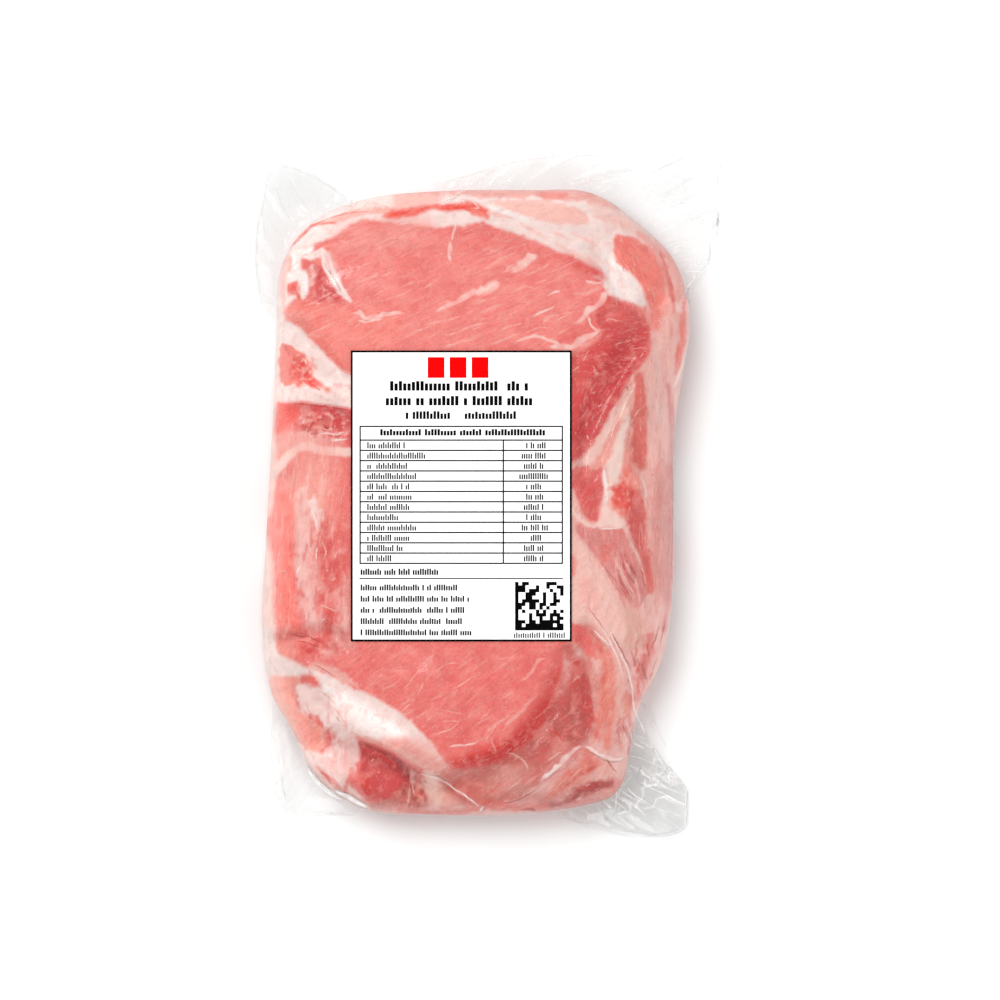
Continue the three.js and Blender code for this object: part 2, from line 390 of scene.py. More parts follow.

# The two eyes are paler in places, and painted shade darkens them where they turn down
lean_patches = smooth(unevenness(meat_x, meat_y, 7.0, 13) + 0.6 * unevenness(meat_x, meat_y, 3.0, 14))
lay((250, 150, 140), 0.30 * lean_patches * (tint[:, 1] < 0.25))
area((254, 166, 158), [(-60, 63), (-54, 82), (-40, 90), (-14, 91), (10, 86), (30, 79), (38, 72), (32, 58),
    (16, 50), (-20, 48), (-46, 50)], soft=6, cover=0.34)
area((252, 166, 158), [(-52, 90), (-41, 94), (-22, 95), (-20, 88), (-30, 85), (-42, 83), (-52, 84)], soft=4,
    cover=0.75)
streak(white_fat, [(-66, 84.5), (-62.5, 84), (-60.5, 85.5)], 2, soft=0.7)
streak(white_fat, [(36, 75.5), (40, 74.5), (41, 70.5)], 1.6, cover=0.8)
area((254, 170, 158), [(-69, 65), (-62, 65), (-60, 62), (-64, 59), (-69, 61)], soft=2, cover=0.7)
area((226, 104, 100), [(29, 82), (36, 79), (40, 77), (40, 74), (35, 75), (30, 78)], soft=2, cover=0.8)
area((228, 108, 104), [(-29, 84), (-22, 84), (-19, 78), (-24, 72), (-30, 75)], soft=4, cover=0.4)
area((253, 150, 139), [(-70, 64), (-55, 67), (-48, 65), (-31, 61), (-31, 52), (-48, 46), (-59, 51),
    (-67, 57)], soft=3, cover=0.75)
# Painted shade along the lower eye's edge where it drops over the step: a darkened red rim band and a darker
# shadow line
streak((226, 80, 77), [(25, -60), (23, -66), (20, -74), (14, -82), (6, -88), (-3, -92), (-12, -94),
    (-18, -89)], 8, soft=3, cover=0.85)
streak((204, 52, 56), [(21, -73), (14, -83), (6, -90), (-3, -94), (-10, -95)], 3.2, soft=1.5, cover=0.75)

# Upper rim: the blood that has gathered under the film, and the pale patches beside it
area(pink, [(-32, 105), (-17, 106), (-17, 101), (-24, 99), (-32, 99)], soft=1.5)
streak(salmon, [(-57.5, 93.5), (-51.5, 95.5), (-46, 97.5), (-40.5, 98.5), (-33.5, 98), (-27, 99)], 2.8,
    soft=0.7, cover=0.8)
streak(blood, [(-70, 84.5), (-68, 87), (-65, 89.5), (-62.5, 92), (-59.5, 93.5), (-52.5, 94)], 1,
    cover=0.85)
streak(blood, [(-37, 96), (-31, 96.8), (-25, 98), (-17.5, 100)], 3, soft=1, cover=0.9)
area(blood, [(-20, 99.5), (-11, 100.5), (-8, 101.5), (-4, 100.5), (0, 98.5), (0, 96.5), (-3.5, 96.5),
    (-7.5, 98), (-13, 98)], soft=0.9)
area(coral, [(-6, 98), (-1.5, 98), (0, 95.5), (-3.5, 96.5)], soft=1)
area((255, 203, 192), [(2.5, 101.5), (18, 102), (23.5, 101), (30.5, 99), (34.5, 96), (35, 94.5), (32.5, 93),
    (20.5, 94), (9, 98), (4, 100)], soft=0.5)
streak(white_fat, [(-0.5, 100), (4, 98), (8.5, 96.5), (14.5, 94.5)], 1.6, cover=0.8)
streak((250, 196, 190), [(-0.5, 97.5), (4, 96.5), (9, 95.5)], 1.4, cover=0.8)
area(blood, [(16, 103.5), (20, 105), (27, 104.5), (27, 103), (20.5, 102.5)], cover=0.8)
area((250, 186, 176), [(34, 103), (37.5, 104.5), (41.5, 102.5), (46.5, 100), (48, 98), (43, 98.5),
    (39, 100), (35.5, 100.5)], soft=1)
area(pink, [(42, 95), (49, 96), (53, 93), (51, 91), (45, 92)], soft=2, cover=0.6)
for vein in ([(21, 91), (25, 89.5), (28.5, 87.5)], [(23.5, 86.5), (30, 83), (37, 80)],
             [(29, 90), (36, 87), (39, 84.5)], [(11, 93.5), (20, 88.5)],
             [(35.5, 96.5), (40.5, 94.5), (41.5, 90)]):
    streak(pink, vein, 1.1, soft=0.6, cover=0.6)
area((253, 224, 216), [(-50, 99.5), (-46, 104), (-37, 106), (-32, 106), (-35, 101), (-43, 98.5)], soft=1.2,
    rough=1.2, cover=0.8)
area((246, 154, 142), [(-34, 104), (-20, 104), (0, 103), (12, 102.5), (20, 103.5), (34, 101.5), (34, 112),
    (-34, 112)], soft=1, rough=0.9, cover=0.75)

# Upper right: the small round muscle, its white fat and the red line along the rim
area(coral, [(43.4, 87.5), (44, 89.3), (46, 90), (52, 88.5), (57, 84.5), (60.5, 80), (61, 72), (60.5, 66),
    (55.5, 66.5), (53, 72.5), (49.5, 76), (44.5, 80), (43.4, 84)], soft=0.6)
area(coral, [(55, 68), (60, 70), (60, 60), (59, 53), (57, 56)], soft=2.2, cover=0.75)
area(white_fat, [(38.5, 80), (41, 84.5), (43.5, 80), (47, 78), (52.5, 72), (54.5, 64.5), (48.5, 66.5),
    (42, 69), (41, 75.5)], cover=0.5)
streak((243, 152, 142), [(51.5, 90.5), (55.5, 87.5), (59.5, 83), (62, 77)], 3, soft=1.2, cover=0.8)
area((242, 146, 135), [(56, 72), (62, 74), (64, 64), (62, 57), (58, 54)], soft=2.5, cover=0.75)
area(flank, [(61, 62), (64, 62), (66, 56), (65, 46), (61, 42), (58, 48), (59, 56)], soft=1.5)
area((243, 160, 149), [(61.5, 85), (64.5, 79), (67.5, 71), (68.5, 64), (66, 61), (64, 70), (62, 78)],
    soft=1.2, cover=0.35)
streak((226, 108, 101), [(59.5, 84.5), (61.5, 79), (63, 73.5), (64, 68), (64.8, 63)], 1.8, soft=0.7,
    cover=0.8)
streak(blood, [(68.5, 68), (68, 62.5), (67.5, 57.5), (67.5, 52.5), (66, 47.5), (65.5, 43)], 2.6, soft=0.8,
    cover=0.75)
streak(fat, [(70, 52), (68.5, 46.5), (66.5, 42), (64.5, 36.5)], 1.4, cover=0.7)
streak((238, 108, 94), [(66, 52.5), (66.5, 47), (65, 41)], 2, soft=0.7, cover=0.8)

# Left corner: fat leg, dark wedge of muscle and the two-lipped white seam
streak(white_fat, [(-68, 84.5), (-67.5, 80.5), (-67, 76.5)], 3.2)
area(white_fat, [(-67.5, 77.5), (-64, 77.5), (-62, 76.5), (-62, 70.5), (-63.5, 67.5), (-65, 68.5),
    (-65.5, 73), (-68.5, 74), (-69.5, 77)])
area((250, 118, 106), [(-69.5, 73), (-66, 73.5), (-66, 70), (-69.5, 69.5)], soft=0.5, rounded=False)
streak((240, 120, 108), [(-69.5, 68.5), (-66.5, 69.5), (-65, 67)], 1.4)
streak(salmon, [(-69, 83), (-68.5, 79.5), (-69.5, 76.5)], 1.4, cover=0.8)
streak((250, 190, 180), [(-71, 66), (-71, 76), (-69, 85)], 2.6, soft=0.9, cover=0.7)
area((232, 120, 118), [(-64.5, 81.5), (-60.5, 79), (-58, 79.5), (-54, 72), (-50, 66.5), (-54, 66),
    (-61, 66.5), (-61.5, 72), (-62, 75.5), (-64.5, 79)], soft=1, cover=0.8)
area((210, 86, 90), [(-60, 78), (-58, 78), (-55, 73), (-51, 67), (-57, 67), (-59, 71)], soft=1.8,
    cover=0.85)
streak(fat, [(-65, 82), (-61, 82), (-57.5, 83.5), (-55.5, 80), (-54, 76.5), (-51.5, 71.5), (-49.5, 68.5),
    (-47, 66)], 3.4)
streak((250, 204, 198), [(-60.8, 80), (-60.8, 76), (-61.2, 72)], 1.8, soft=0.8, rough=0.8, cover=0.85)
streak((250, 190, 186), [(-55.5, 83.5), (-53.8, 79), (-51.5, 74.5)], 3.4, soft=1.2, cover=0.7)
streak(coral, [(-70, 63), (-65, 65), (-55, 65.5)], 3.6, soft=1.2, cover=0.6)

# Left side: the white fat wedge, crumbly red meat and the dark fold
area(fat, [(-80, 66), (-72.5, 66), (-70, 60.5), (-65, 57.5), (-60.5, 53), (-55.5, 47.5), (-50.5, 42.5),
    (-46, 40.5), (-46, 29), (-53.5, 30.5), (-61, 31.5), (-66.5, 32), (-80, 29.5)], rounded=False, soft=0.9)
area(coral, [(-71, 51.5), (-68, 52), (-66.5, 49.5), (-63, 47), (-61.5, 45.5), (-60, 42), (-57.5, 38),
    (-59.5, 36.5), (-62, 37), (-66.5, 37.5), (-68.5, 38), (-71.5, 38.5), (-72.5, 42), (-72, 47)], rough=1.1,
    soft=0.6)
area((234, 86, 82), [(-67, 45.5), (-64, 45), (-61, 42), (-58, 38), (-60.5, 37.5), (-64.5, 41)], soft=1.2,
    rough=1.4, cover=0.8)
streak(dark, [(-71, 52), (-69.5, 50), (-68.5, 47.5)], 1.4, cover=0.5)
area((224, 140, 124), [(-56.5, 36.5), (-54.5, 37), (-54.5, 35), (-56, 35)], soft=1)
streak((236, 196, 194), [(-53, 37.5), (-47, 37)], 1.6, even_width=True)
# The dark fold: partly the muscle's own deep red, partly painted shade under the fat that overhangs it
area((228, 106, 106), [(-74, 30), (-66.5, 30.5), (-61, 30), (-55, 29.5), (-47, 28), (-47, 16.5),
    (-53, 16.5), (-57.5, 17.5), (-61, 20), (-65, 18.5), (-73.5, 18.5)], rough=0.8, soft=0.8)
area((251, 116, 107), [(-76, 30), (-69, 31), (-65, 28), (-67, 23), (-65, 20), (-69, 18), (-76, 19)],
    soft=2, cover=0.9)
area((206, 80, 86), [(-66.5, 31), (-55, 30), (-47, 28), (-47, 20), (-52, 24), (-56.5, 27.5), (-62, 29)],
    soft=1.2, cover=0.7)
area(pink, [(-65, 30), (-63, 32), (-61, 29), (-60, 24), (-64, 24), (-66, 26)], soft=1.5, rough=1.2,
    cover=0.45)
area((206, 76, 84), [(-59, 28.5), (-54, 27.5), (-55, 25), (-58.5, 25)], soft=1.2, cover=0.7)
area((242, 180, 170), [(-66, 21), (-60, 22.5), (-57, 20), (-54, 19), (-58, 17.5), (-65, 18)], soft=1.2,
    rough=1.2, cover=0.7)
area(salmon, [(-75, 20), (-65, 20), (-61, 18.5), (-59, 16), (-65, 15), (-71, 11), (-74.5, 6.5)], soft=1.4,
    cover=0.8)
streak(pale_rim, [(-73.5, 8), (-71, 11), (-68, 14), (-65, 16), (-62.5, 16.5), (-59, 15.5), (-55.5, 14.5),
    (-47, 14.5)], 3, soft=0.7, even_width=True)
# Painted highlights on the left bulge, which faces the light from the upper left: a broad pale zone, a soft
# pale band down its top, a crisp white streak and a long soft streak below it
area((254, 176, 164), [(-70, 4), (-63, 15), (-53, 13), (-53, 2), (-56, -12), (-66, -14)], soft=5,
    cover=0.8)
streak((251, 202, 194), [(-64, 3), (-64, -7), (-64, -16), (-64, -23), (-63, -30)], 6, soft=2.2, rough=1.3,
    cover=0.95)
streak((254, 226, 220), [(-60.5, -1), (-60, -6.5), (-59.3, -10), (-59, -14)], 3.8, soft=1.2, rough=1.2,
    cover=0.9)
area((252, 216, 208), [(-66.5, -22), (-63, -27), (-60.5, -33), (-61.5, -39), (-64, -35), (-66, -30)],
    soft=1.4, rough=1.4, cover=0.85)
streak(pink, [(-55.5, 6), (-57.5, 1.5), (-58, -2), (-58.5, -5.5)], 1.8, soft=0.8, cover=0.7)
streak((250, 192, 184), [(-62, -22), (-61, -28), (-62, -34), (-62, -38), (-61, -43), (-59, -48)], 7,
    soft=2.4, rough=1.6, cover=0.8)
area((253, 140, 129), [(-77, 2), (-68, -2), (-67, -16), (-67, -30), (-66, -41), (-65, -47), (-72, -48),
    (-75, -37), (-77, -23)], soft=2.2, cover=0.85)
area((224, 112, 108), [(-55, -11), (-47, -11), (-47, -30), (-52, -36), (-58, -38), (-59, -27), (-58, -18)],
    soft=3, cover=0.5)
area((242, 166, 158), [(-51.5, -31), (-46, -29), (-46, -52), (-52, -50.5), (-51, -44), (-52.5, -38)],
    soft=1.4, rough=1.4, cover=0.75)
streak((252, 204, 196), [(-50.5, -36), (-50, -42), (-50.5, -48)], 3.6, soft=1.2, rough=1.4, cover=0.8)
area((252, 204, 196), [(-62, -41), (-57, -42), (-57, -47), (-61, -48)], soft=1.4, rough=1.4, cover=0.7)
area((222, 98, 95), [(-57.5, -42.5), (-54, -41), (-52, -44), (-52.5, -48.5), (-56.5, -49)], soft=1.4,
    rough=1, cover=0.8)
# Painted shade in the left crease
streak(seam_shade, [(-69.5, -48), (-65, -49), (-62, -49.5), (-59, -50.5), (-57, -51.5)], 1.6, cover=0.5)
area((228, 82, 80), [(-65, -53), (-63, -52), (-60.5, -54), (-62, -55.5), (-64.5, -55)], soft=1.2,
    cover=0.8)
area(salmon, [(-75, -51), (-68, -50), (-65, -54), (-67, -58), (-73, -57)], soft=2, cover=0.5)
streak(pink, [(-59, -53.5), (-55, -55), (-52.5, -50.5), (-51.5, -42)], 3.6, soft=1.3, rough=1,
    cover=0.8)
# Painted highlight along the left rim, which faces the light from the upper left
streak(pale_rim, [(-75, 60), (-75, 46), (-75.5, 30.5), (-76, 21.5), (-75, 13), (-75, 4), (-76, -8)], 4,
    soft=1.2, cover=0.85)
streak(pale_rim, [(-78, -14), (-78, -27), (-78, -38), (-76, -47), (-76, -54)], 7.4, soft=1.6)
area((250, 190, 182), [(-70, 22), (-60, 23), (-52, 21), (-50, 17), (-60, 15), (-70, 15)], soft=2,
    cover=0.5)
streak((238, 132, 126), [(-60.5, 38.7), (-58.3, 37.7), (-56.5, 36.8)], 2.4, soft=1, cover=0.8)

# Lower left: the raised white fat, the membrane, and the end of red muscle tucked under it
area(fat, [(-84, -46), (-76, -46), (-72.5, -55.5), (-65, -59), (-57, -62), (-58, -64), (-61.5, -63),
    (-67, -63.5), (-74.5, -64.5), (-84, -66)], rounded=False)
streak((246, 192, 182), [(-62, -59.5), (-55, -61), (-49, -64), (-45, -67)], 3.6, soft=0.8, rough=0.7,
    cover=0.85)
# Painted highlight: the meat under the white fold bands on the lower left rim is painted near white
area((253, 212, 204), [(-68, -86), (-60, -88), (-50, -98), (-44, -105), (-40, -112), (-60, -112),
    (-74, -95)], soft=1)
area((255, 174, 160), [(-75.5, -64.5), (-70.5, -63.5), (-65, -63.5), (-64.5, -66), (-66.5, -72), (-64, -76),
    (-60, -79), (-56.5, -83), (-57, -88.5), (-61, -89.8), (-64.5, -88), (-67.5, -83.5), (-71, -77),
    (-74.5, -71)], rough=0.7, soft=0.6)
area((255, 190, 177), [(-76, -64), (-73, -65), (-71, -72), (-67, -81), (-69, -84), (-73, -77)], soft=2,
    cover=0.8)
area((240, 112, 104), [(-65, -63), (-61, -62.5), (-58, -64.5), (-60.5, -65.5)], soft=0.7, rough=0.9,
    cover=0.85)
area((251, 146, 134), [(-65, -77), (-61, -80), (-58, -84), (-58, -87), (-63, -87), (-66, -81)], soft=1.8,
    cover=0.7)
area((255, 222, 216), [(-66, -66), (-60, -67), (-56, -69.5), (-53.5, -75), (-49.5, -78.5), (-46, -84),
    (-44.5, -89), (-46, -95), (-48.5, -99.5), (-50, -103.5), (-52.5, -103), (-57.5, -98), (-62.5, -93),
    (-63, -89.5), (-58.5, -89.5), (-53.5, -87.5), (-54, -82), (-57.5, -79), (-61, -76.5), (-65, -74)],
    rough=0.9, soft=0.9)
area((247, 196, 189), [(-56, -88), (-47, -85), (-46, -93), (-49, -98), (-56, -95)], soft=2, cover=0.7)
for bend in ([(-59.5, -94.5), (-56, -98), (-51, -102.5)], [(-47, -95.5), (-48.5, -99.5), (-50, -104)]):
    streak((240, 126, 117), bend, 1.9, rough=0.8, soft=0.8, cover=0.8)
area((208, 128, 120), [(-30, -96), (-23, -97), (-21, -103), (-22, -109), (-32, -110), (-42, -110),
    (-38, -106)], rough=1, soft=1.2)
area(dark, [(-43.5, -86), (-39.5, -87), (-34.5, -89.5), (-30, -92.5), (-27, -97.5), (-29.5, -101.5),
    (-33, -104.5), (-37.5, -106.5), (-40.5, -106), (-43, -103.5), (-44.3, -100), (-44.6, -96.5),
    (-43.6, -92)], rough=0.5)
# Painted shadow of the raised fat ridge over the tucked muscle's top edge and its right end
area((190, 48, 52), [(-44, -86), (-38, -88), (-31, -93), (-27, -98), (-32, -97), (-38, -93), (-43, -90)],
    soft=1.8, cover=0.9)
area((224, 80, 75), [(-45, -99), (-42, -97), (-40, -103), (-38, -106), (-41, -106), (-43, -103)], soft=1.6,
    cover=0.75)
streak((222, 44, 44), [(-43.5, -87.6), (-37, -90.6), (-31, -94.6)], 2.6, soft=1, cover=0.8)
area((160, 72, 68), [(-31, -93), (-27, -95), (-25, -100), (-28, -104), (-30, -99)], soft=1.5, rough=1.2,
    cover=0.7)
area((206, 84, 76), [(-24.5, -103), (-22.5, -103), (-22, -106), (-24.5, -106)], soft=1, cover=0.6)
area((247, 200, 186), [(-22, -96), (-15, -97), (-12, -101), (-13, -107), (-17.5, -108.5), (-20, -105.5),
    (-22, -102)], soft=1)
area((248, 172, 158), [(-17, -100), (-12, -102), (-6, -107), (-10, -109), (-15, -108)], soft=2,
    cover=0.6)
area(fat, [(-60.5, -61.5), (-55.5, -62.5), (-50, -65.5), (-42.5, -69), (-35.5, -72.5), (-28, -77.5),
    (-22, -83.5), (-17.5, -89), (-14, -95), (-16.5, -96.5), (-22, -95), (-29, -91.5), (-36, -87),
    (-43.5, -85), (-49.5, -80), (-53.5, -75), (-56, -69.5)], rough=0.4, soft=0.8)
area(white_fat, [(-57, -66), (-50, -68), (-41, -74), (-32, -80), (-31, -85), (-41, -83), (-48, -77),
    (-54, -72)], soft=2, cover=0.8)
area((248, 160, 148), [(-37, -85), (-30, -85), (-22, -89), (-14, -95), (-18, -96), (-25, -93), (-31, -89)],
    soft=2, cover=0.8)
area((242, 172, 162), [(-30, -84), (-20, -86), (-12, -94), (-16, -98), (-24, -92), (-32, -88)], soft=2,
    cover=0.6)
# Painted shadow line right under the fat ridge
streak((170, 34, 34), [(-45, -86), (-37, -89.2), (-30, -93.2), (-24, -96.8)], 1.8, soft=0.6, cover=0.9)
streak((246, 172, 160), [(-45, -84.2), (-38, -86.2), (-32, -89.2), (-26.5, -92.4), (-20, -95),
    (-13, -97.5)], 1.7, soft=0.7, even_width=True, cover=0.9)
area((246, 190, 180), [(-55, -107), (-41, -109), (-31, -109), (-31, -113), (-55, -112)], soft=1.5,
    cover=0.8)

# Lower right: grey muscle behind the film, membranes and fat down to the corner
area((202, 128, 119), [(-18, -97), (-6, -96), (4, -93), (11, -90), (20, -86), (21, -93), (18, -100),
    (11, -105), (1, -108), (-10, -107)], soft=1.8, rough=0.9)
area((212, 148, 139), [(1, -98), (8, -93), (13, -92), (14, -97), (12, -103), (6, -105), (0, -103)], soft=3,
    cover=0.7)
area((216, 156, 146), [(4, -95), (12, -92), (17, -96), (14, -103), (6, -104)], soft=2, cover=0.7)
area((218, 120, 112), [(-16, -97), (-6, -98), (-2, -103), (-6, -107), (-12, -104)], soft=2.5, cover=0.6)
# Painted shade on the low tissue right of and below the lower eye's step
area((196, 110, 104), [(34, -82), (34, -88), (27, -93), (20, -97), (14, -95), (12, -89), (18, -82),
    (26, -78)], soft=4, cover=0.75)
area(step_shade_brown, [(29, -58), (33, -57), (36, -63), (38, -72), (37, -79), (34, -85), (28, -86), (20, -82),
    (22, -76), (26, -67)], soft=2, rough=0.9, cover=0.9)
area((204, 92, 90), [(30, -57), (34, -59), (36, -68), (37, -77), (34, -79), (30, -72), (29, -63)], soft=1.8,
    cover=0.7)
area((188, 102, 98), [(4, -93), (10, -89.5), (16, -84), (20.5, -78.5), (24, -71), (28, -76), (27, -84),
    (20, -90), (10, -93.5)], soft=1.2, cover=0.85)
streak((212, 62, 62), [(-12, -93.5), (-4, -92.3), (3, -90.5), (9, -86.8), (14.5, -82), (19, -76),
    (22, -69)], 4.4, soft=1, rough=0.5, cover=0.8)
streak((224, 122, 114), [(27, -49), (28, -53), (28.5, -58)], 4, soft=1.2, cover=0.8)
streak((228, 158, 148), [(31.5, -51.5), (34, -55.5), (35.5, -60.5), (37, -66), (37.5, -72.5), (38, -78.5)],
    2.8, soft=0.8)
streak((229, 120, 104), [(38, -51), (40, -56), (41, -61), (41, -68), (41, -74), (39, -79), (37, -86)], 4.2,
    soft=1.8, rough=0.8, cover=0.85)
streak((240, 150, 134), [(41, -53), (43, -59), (43.5, -66.5), (43.5, -74.5), (42, -82), (41, -89)], 4.2,
    soft=1.3, rough=0.8)
streak((238, 186, 175), [(43.5, -55), (45.5, -61), (46.5, -69), (46, -75.5), (45, -82.5), (43.5, -89)], 3.6,
    soft=1.2, rough=0.8)
streak((226, 144, 126), [(48, -68), (48.5, -73.5), (48, -79)], 2.4, soft=1)
area((228, 182, 168), [(39, -41), (47, -39), (53, -43), (54, -53), (50, -55), (43, -48)], soft=1.8,
    cover=0.8)
area((226, 118, 106), [(29, -47), (35, -45), (39, -50), (41, -55), (36, -54), (31, -52)], soft=1.8,
    cover=0.6)
area((230, 138, 124), [(19, -107), (22, -102), (26, -98), (31, -93), (34, -88), (38, -91), (41, -94),
    (36, -97), (31, -100), (25, -104), (21, -108)], soft=1.5, rough=0.7, cover=0.85)
streak((204, 96, 88), [(22, -105.5), (27, -101.5), (33, -97), (39, -93.5)], 1.2, soft=0.7, rough=0.8)
area((238, 180, 170), [(22, -106.5), (27, -103), (32.5, -99.5), (37.5, -95.5), (41, -92.5), (43.5, -95),
    (43.5, -98.5), (39, -98.5), (34, -100.5), (29, -104), (24.5, -107.5)], soft=0.9, rough=0.7)
area((216, 138, 130), [(14, -108), (26, -106), (36, -101), (44, -98), (50, -101), (40, -108), (24, -112)],
    soft=1.2, rough=1.2, cover=0.8)
area((206, 132, 122), [(6, -103), (18, -104), (30, -99), (34, -97), (31, -103), (20, -108), (8, -107)],
    soft=2, cover=0.6)
streak((172, 68, 70), [(20, -109), (28, -106), (34, -102.8), (39, -101.2), (44, -101)], 3.6, soft=0.9,
    rough=0.8, cover=0.9)
streak((226, 128, 118), [(-30.5, -110), (-20, -111), (-9.5, -110.5), (0.5, -108.5), (11, -109), (20, -109)],
    2.4, soft=1, rough=0.7, even_width=True)
area((226, 112, 102), [(-3, -106.5), (4, -106), (9.5, -107.5), (4, -109.5), (-2, -109)], soft=1.2,
    cover=0.7)
streak((214, 104, 99), [(57, -48), (55, -56), (53, -64), (50, -72)], 4.6, soft=1.6, rough=1.4, cover=0.7)
area((214, 120, 116), [(44.5, -78.5), (49.5, -78), (50.5, -85.5), (49.5, -90.5), (45, -89.5)], soft=1.2,
    rough=1.6, cover=0.6)

# Right of the label: the dark muscle in its recess, the leaf of red meat, white fat and the red strip
area(dark, [(42, 68.3), (47.5, 64.8), (53, 61.8), (57, 57), (56, 49.5), (53.5, 45), (49.5, 39), (45, 30),
    (42.3, 24.5), (36, 14.5), (25, 7), (25, 49.5), (30, 50.5), (39.5, 55.5), (37, 60), (38, 64)],
    rounded=False, soft=1, cover=0.9)
area((222, 94, 92), [(29, 52), (36, 54), (41, 53), (39, 43), (35, 35), (32, 26), (29, 22)], soft=5,
    cover=0.7)
area((202, 70, 76), [(38, 46), (47, 54), (55, 59), (56, 50), (52, 42), (47, 35), (41, 32), (36, 26),
    (31, 20), (32, 31)], soft=3.5, rough=1.2, cover=0.62)
streak((250, 172, 162), [(22, 49), (30, 50), (39, 54.5)], 3, soft=1.4, cover=0.7)
area((236, 124, 116), [(41, 67), (45, 66), (48, 63), (44, 60), (40, 62)], soft=3, cover=0.5)
area((236, 190, 180), [(49, 40), (53, 44), (56, 46), (60, 40), (58, 30), (55.5, 20), (55, 8), (52, 4),
    (49, 12), (44, 4), (40, 4), (41, 14), (37.5, 17.5), (30, 9), (27, 9), (36, 15.5), (42.2, 25.5),
    (46, 31)], rounded=False, soft=1.2, cover=0.8)
area((234, 144, 132), [(46, 20), (50, 22), (51, 8), (46, 7)], soft=1, cover=0.7)
area((248, 221, 210), [(45, 30), (48, 30), (49, 25.5), (47.6, 18.5), (46.5, 11), (45.5, 5), (44, -1),
    (42, 0), (40.5, 6), (41, 12), (44, 20), (45.5, 26)], soft=0.8, cover=0.9)
area((243, 208, 197), [(32.5, 11), (37.5, 18.5), (40.7, 24.5), (43.5, 30), (45.5, 28), (42.5, 21), (39, 14),
    (36, 10.5)], soft=0.7, cover=0.85)
area((241, 162, 150), [(45, 26.5), (46.3, 24), (44, 17), (41.3, 11), (38.5, 8.5), (36, 9), (39, 14.5),
    (42.3, 20.5)], soft=1.1, rough=0.7, cover=0.8)
area((232, 188, 176), [(43, 28), (46, 33.5), (50, 37), (50, 30), (47, 26)], soft=1.2, cover=0.7)
area((222, 104, 102), [(27, 8), (34, 9.5), (36, 8), (39, 9.5), (41, 8), (41, 1.5), (39, -4), (38.5, -9),
    (36, -10), (33.5, -7.5), (31, -3), (28.5, 3.5)], cover=0.9)
area((208, 84, 86), [(31, 2), (36, 5), (38, -2), (38, -8), (35, -7)], soft=2, cover=0.5)
area((250, 216, 206), [(27, -3), (32.5, -8.5), (36, -11), (39, -8.5), (39, -5), (41.5, -4), (46, -7.5),
    (47, -11.5), (41, -12), (35.5, -12), (30.5, -8.5), (27, -6)], soft=0.6, cover=0.85)
streak(white_fat, [(40, 9.5), (40.5, 5), (41, 0), (40.5, -4.5)], 1.5, cover=0.85)
area((247, 142, 129), [(45, 3), (46.5, 8), (49.5, 7), (53, 2), (51, -4), (48, -8), (44, -6.5), (42.5, -3)],
    rough=1.2, soft=1.4, cover=0.9)
area((230, 88, 82), [(44, 2), (48, 3), (51, 0), (50, -3), (48, -7), (45, -4)], soft=1.5, rough=1.2,
    cover=0.8)
area((214, 106, 98), [(50, 38), (52.5, 42), (55, 35.5), (55.2, 22), (55, 10), (52, 8), (49.7, 14),
    (49.7, 28.5)], soft=0.9, rough=0.6, cover=0.85)
streak((250, 196, 186), [(50, 41), (50.5, 34.5), (49.5, 28.5)], 1.2, cover=0.6)
area((216, 92, 90), [(48.5, 0.5), (53.5, 1.5), (54.2, -4), (54.5, -12.5), (56, -23), (57.3, -31.5),
    (55.5, -34), (53.5, -28), (51.5, -19.5), (48.5, -12.5), (48, -6.5)], soft=0.9, rough=0.9, cover=0.85)
area((234, 100, 86), [(55, -25), (57, -26.5), (58, -32.5), (56, -34)], soft=1, cover=0.8)
area((212, 148, 142), [(58, 6), (67, 6), (67, -34), (58, -34), (56, -14)], soft=4, cover=0.8)
area(membrane, [(30.5, -11), (36, -12), (46.5, -12), (50, -19), (53.5, -26.5), (55, -33.5), (52.5, -39),
    (48.5, -38.5), (43, -31.5), (39, -24.5), (34.5, -19)], rough=0.7, soft=0.8)
# Painted shade in the membrane's clefts and painted highlights along its ridges
for cleft, width in (([(46.5, -20), (48.5, -25.5), (51, -31)], 2.8),
                     ([(44.8, -25), (47.3, -31), (50, -36)], 1.9)):
    streak((184, 76, 80), cleft, width, soft=0.7, cover=0.9)
for ridge in ([(46, -18), (48.3, -25), (51.6, -32), (52.6, -38)], [(43.5, -22), (48, -32), (50.6, -38)]):
    streak((245, 198, 190), ridge, 1.1, cover=0.85)
area((236, 178, 170), [(37.5, -19), (41.5, -23), (46.5, -29), (50.5, -35.5), (52.5, -39), (49.5, -41),
    (43.5, -36), (39.5, -29)], soft=1, cover=0.4)
area((230, 126, 114), [(39, -19), (41.5, -18), (41.5, -23), (39.5, -23.5)], soft=1.2, cover=0.7)
area((246, 202, 192), [(29, -15.5), (33.5, -18), (37, -23), (40.5, -29), (44.5, -37), (48, -45.5),
    (46, -52.5), (40.5, -48), (35.5, -44.5), (29, -43)], soft=1.3, cover=0.9)
area((248, 178, 168), [(32, -30), (36, -30), (39, -37), (37, -41), (33, -39)], soft=2.5, cover=0.5)
streak((240, 132, 122), [(29, -21), (29.5, -25), (29, -29)], 2.6, soft=0.9, cover=0.7)
area(muscle, [(22, -42), (29, -44.5), (33, -46), (36, -51), (37.5, -57.5), (30, -52), (22, -50)], soft=1)
streak((234, 196, 188), [(58, 55), (59, 40), (60, 26)], 3.5, soft=1.5, even_width=True, cover=0.7)
streak((214, 140, 140), [(62.5, 37.5), (63.5, 29), (64, 15), (63.5, -2), (63.5, -18), (63, -33.5),
    (61, -47.5)], 1.6, soft=0.8, even_width=True, cover=0.8)

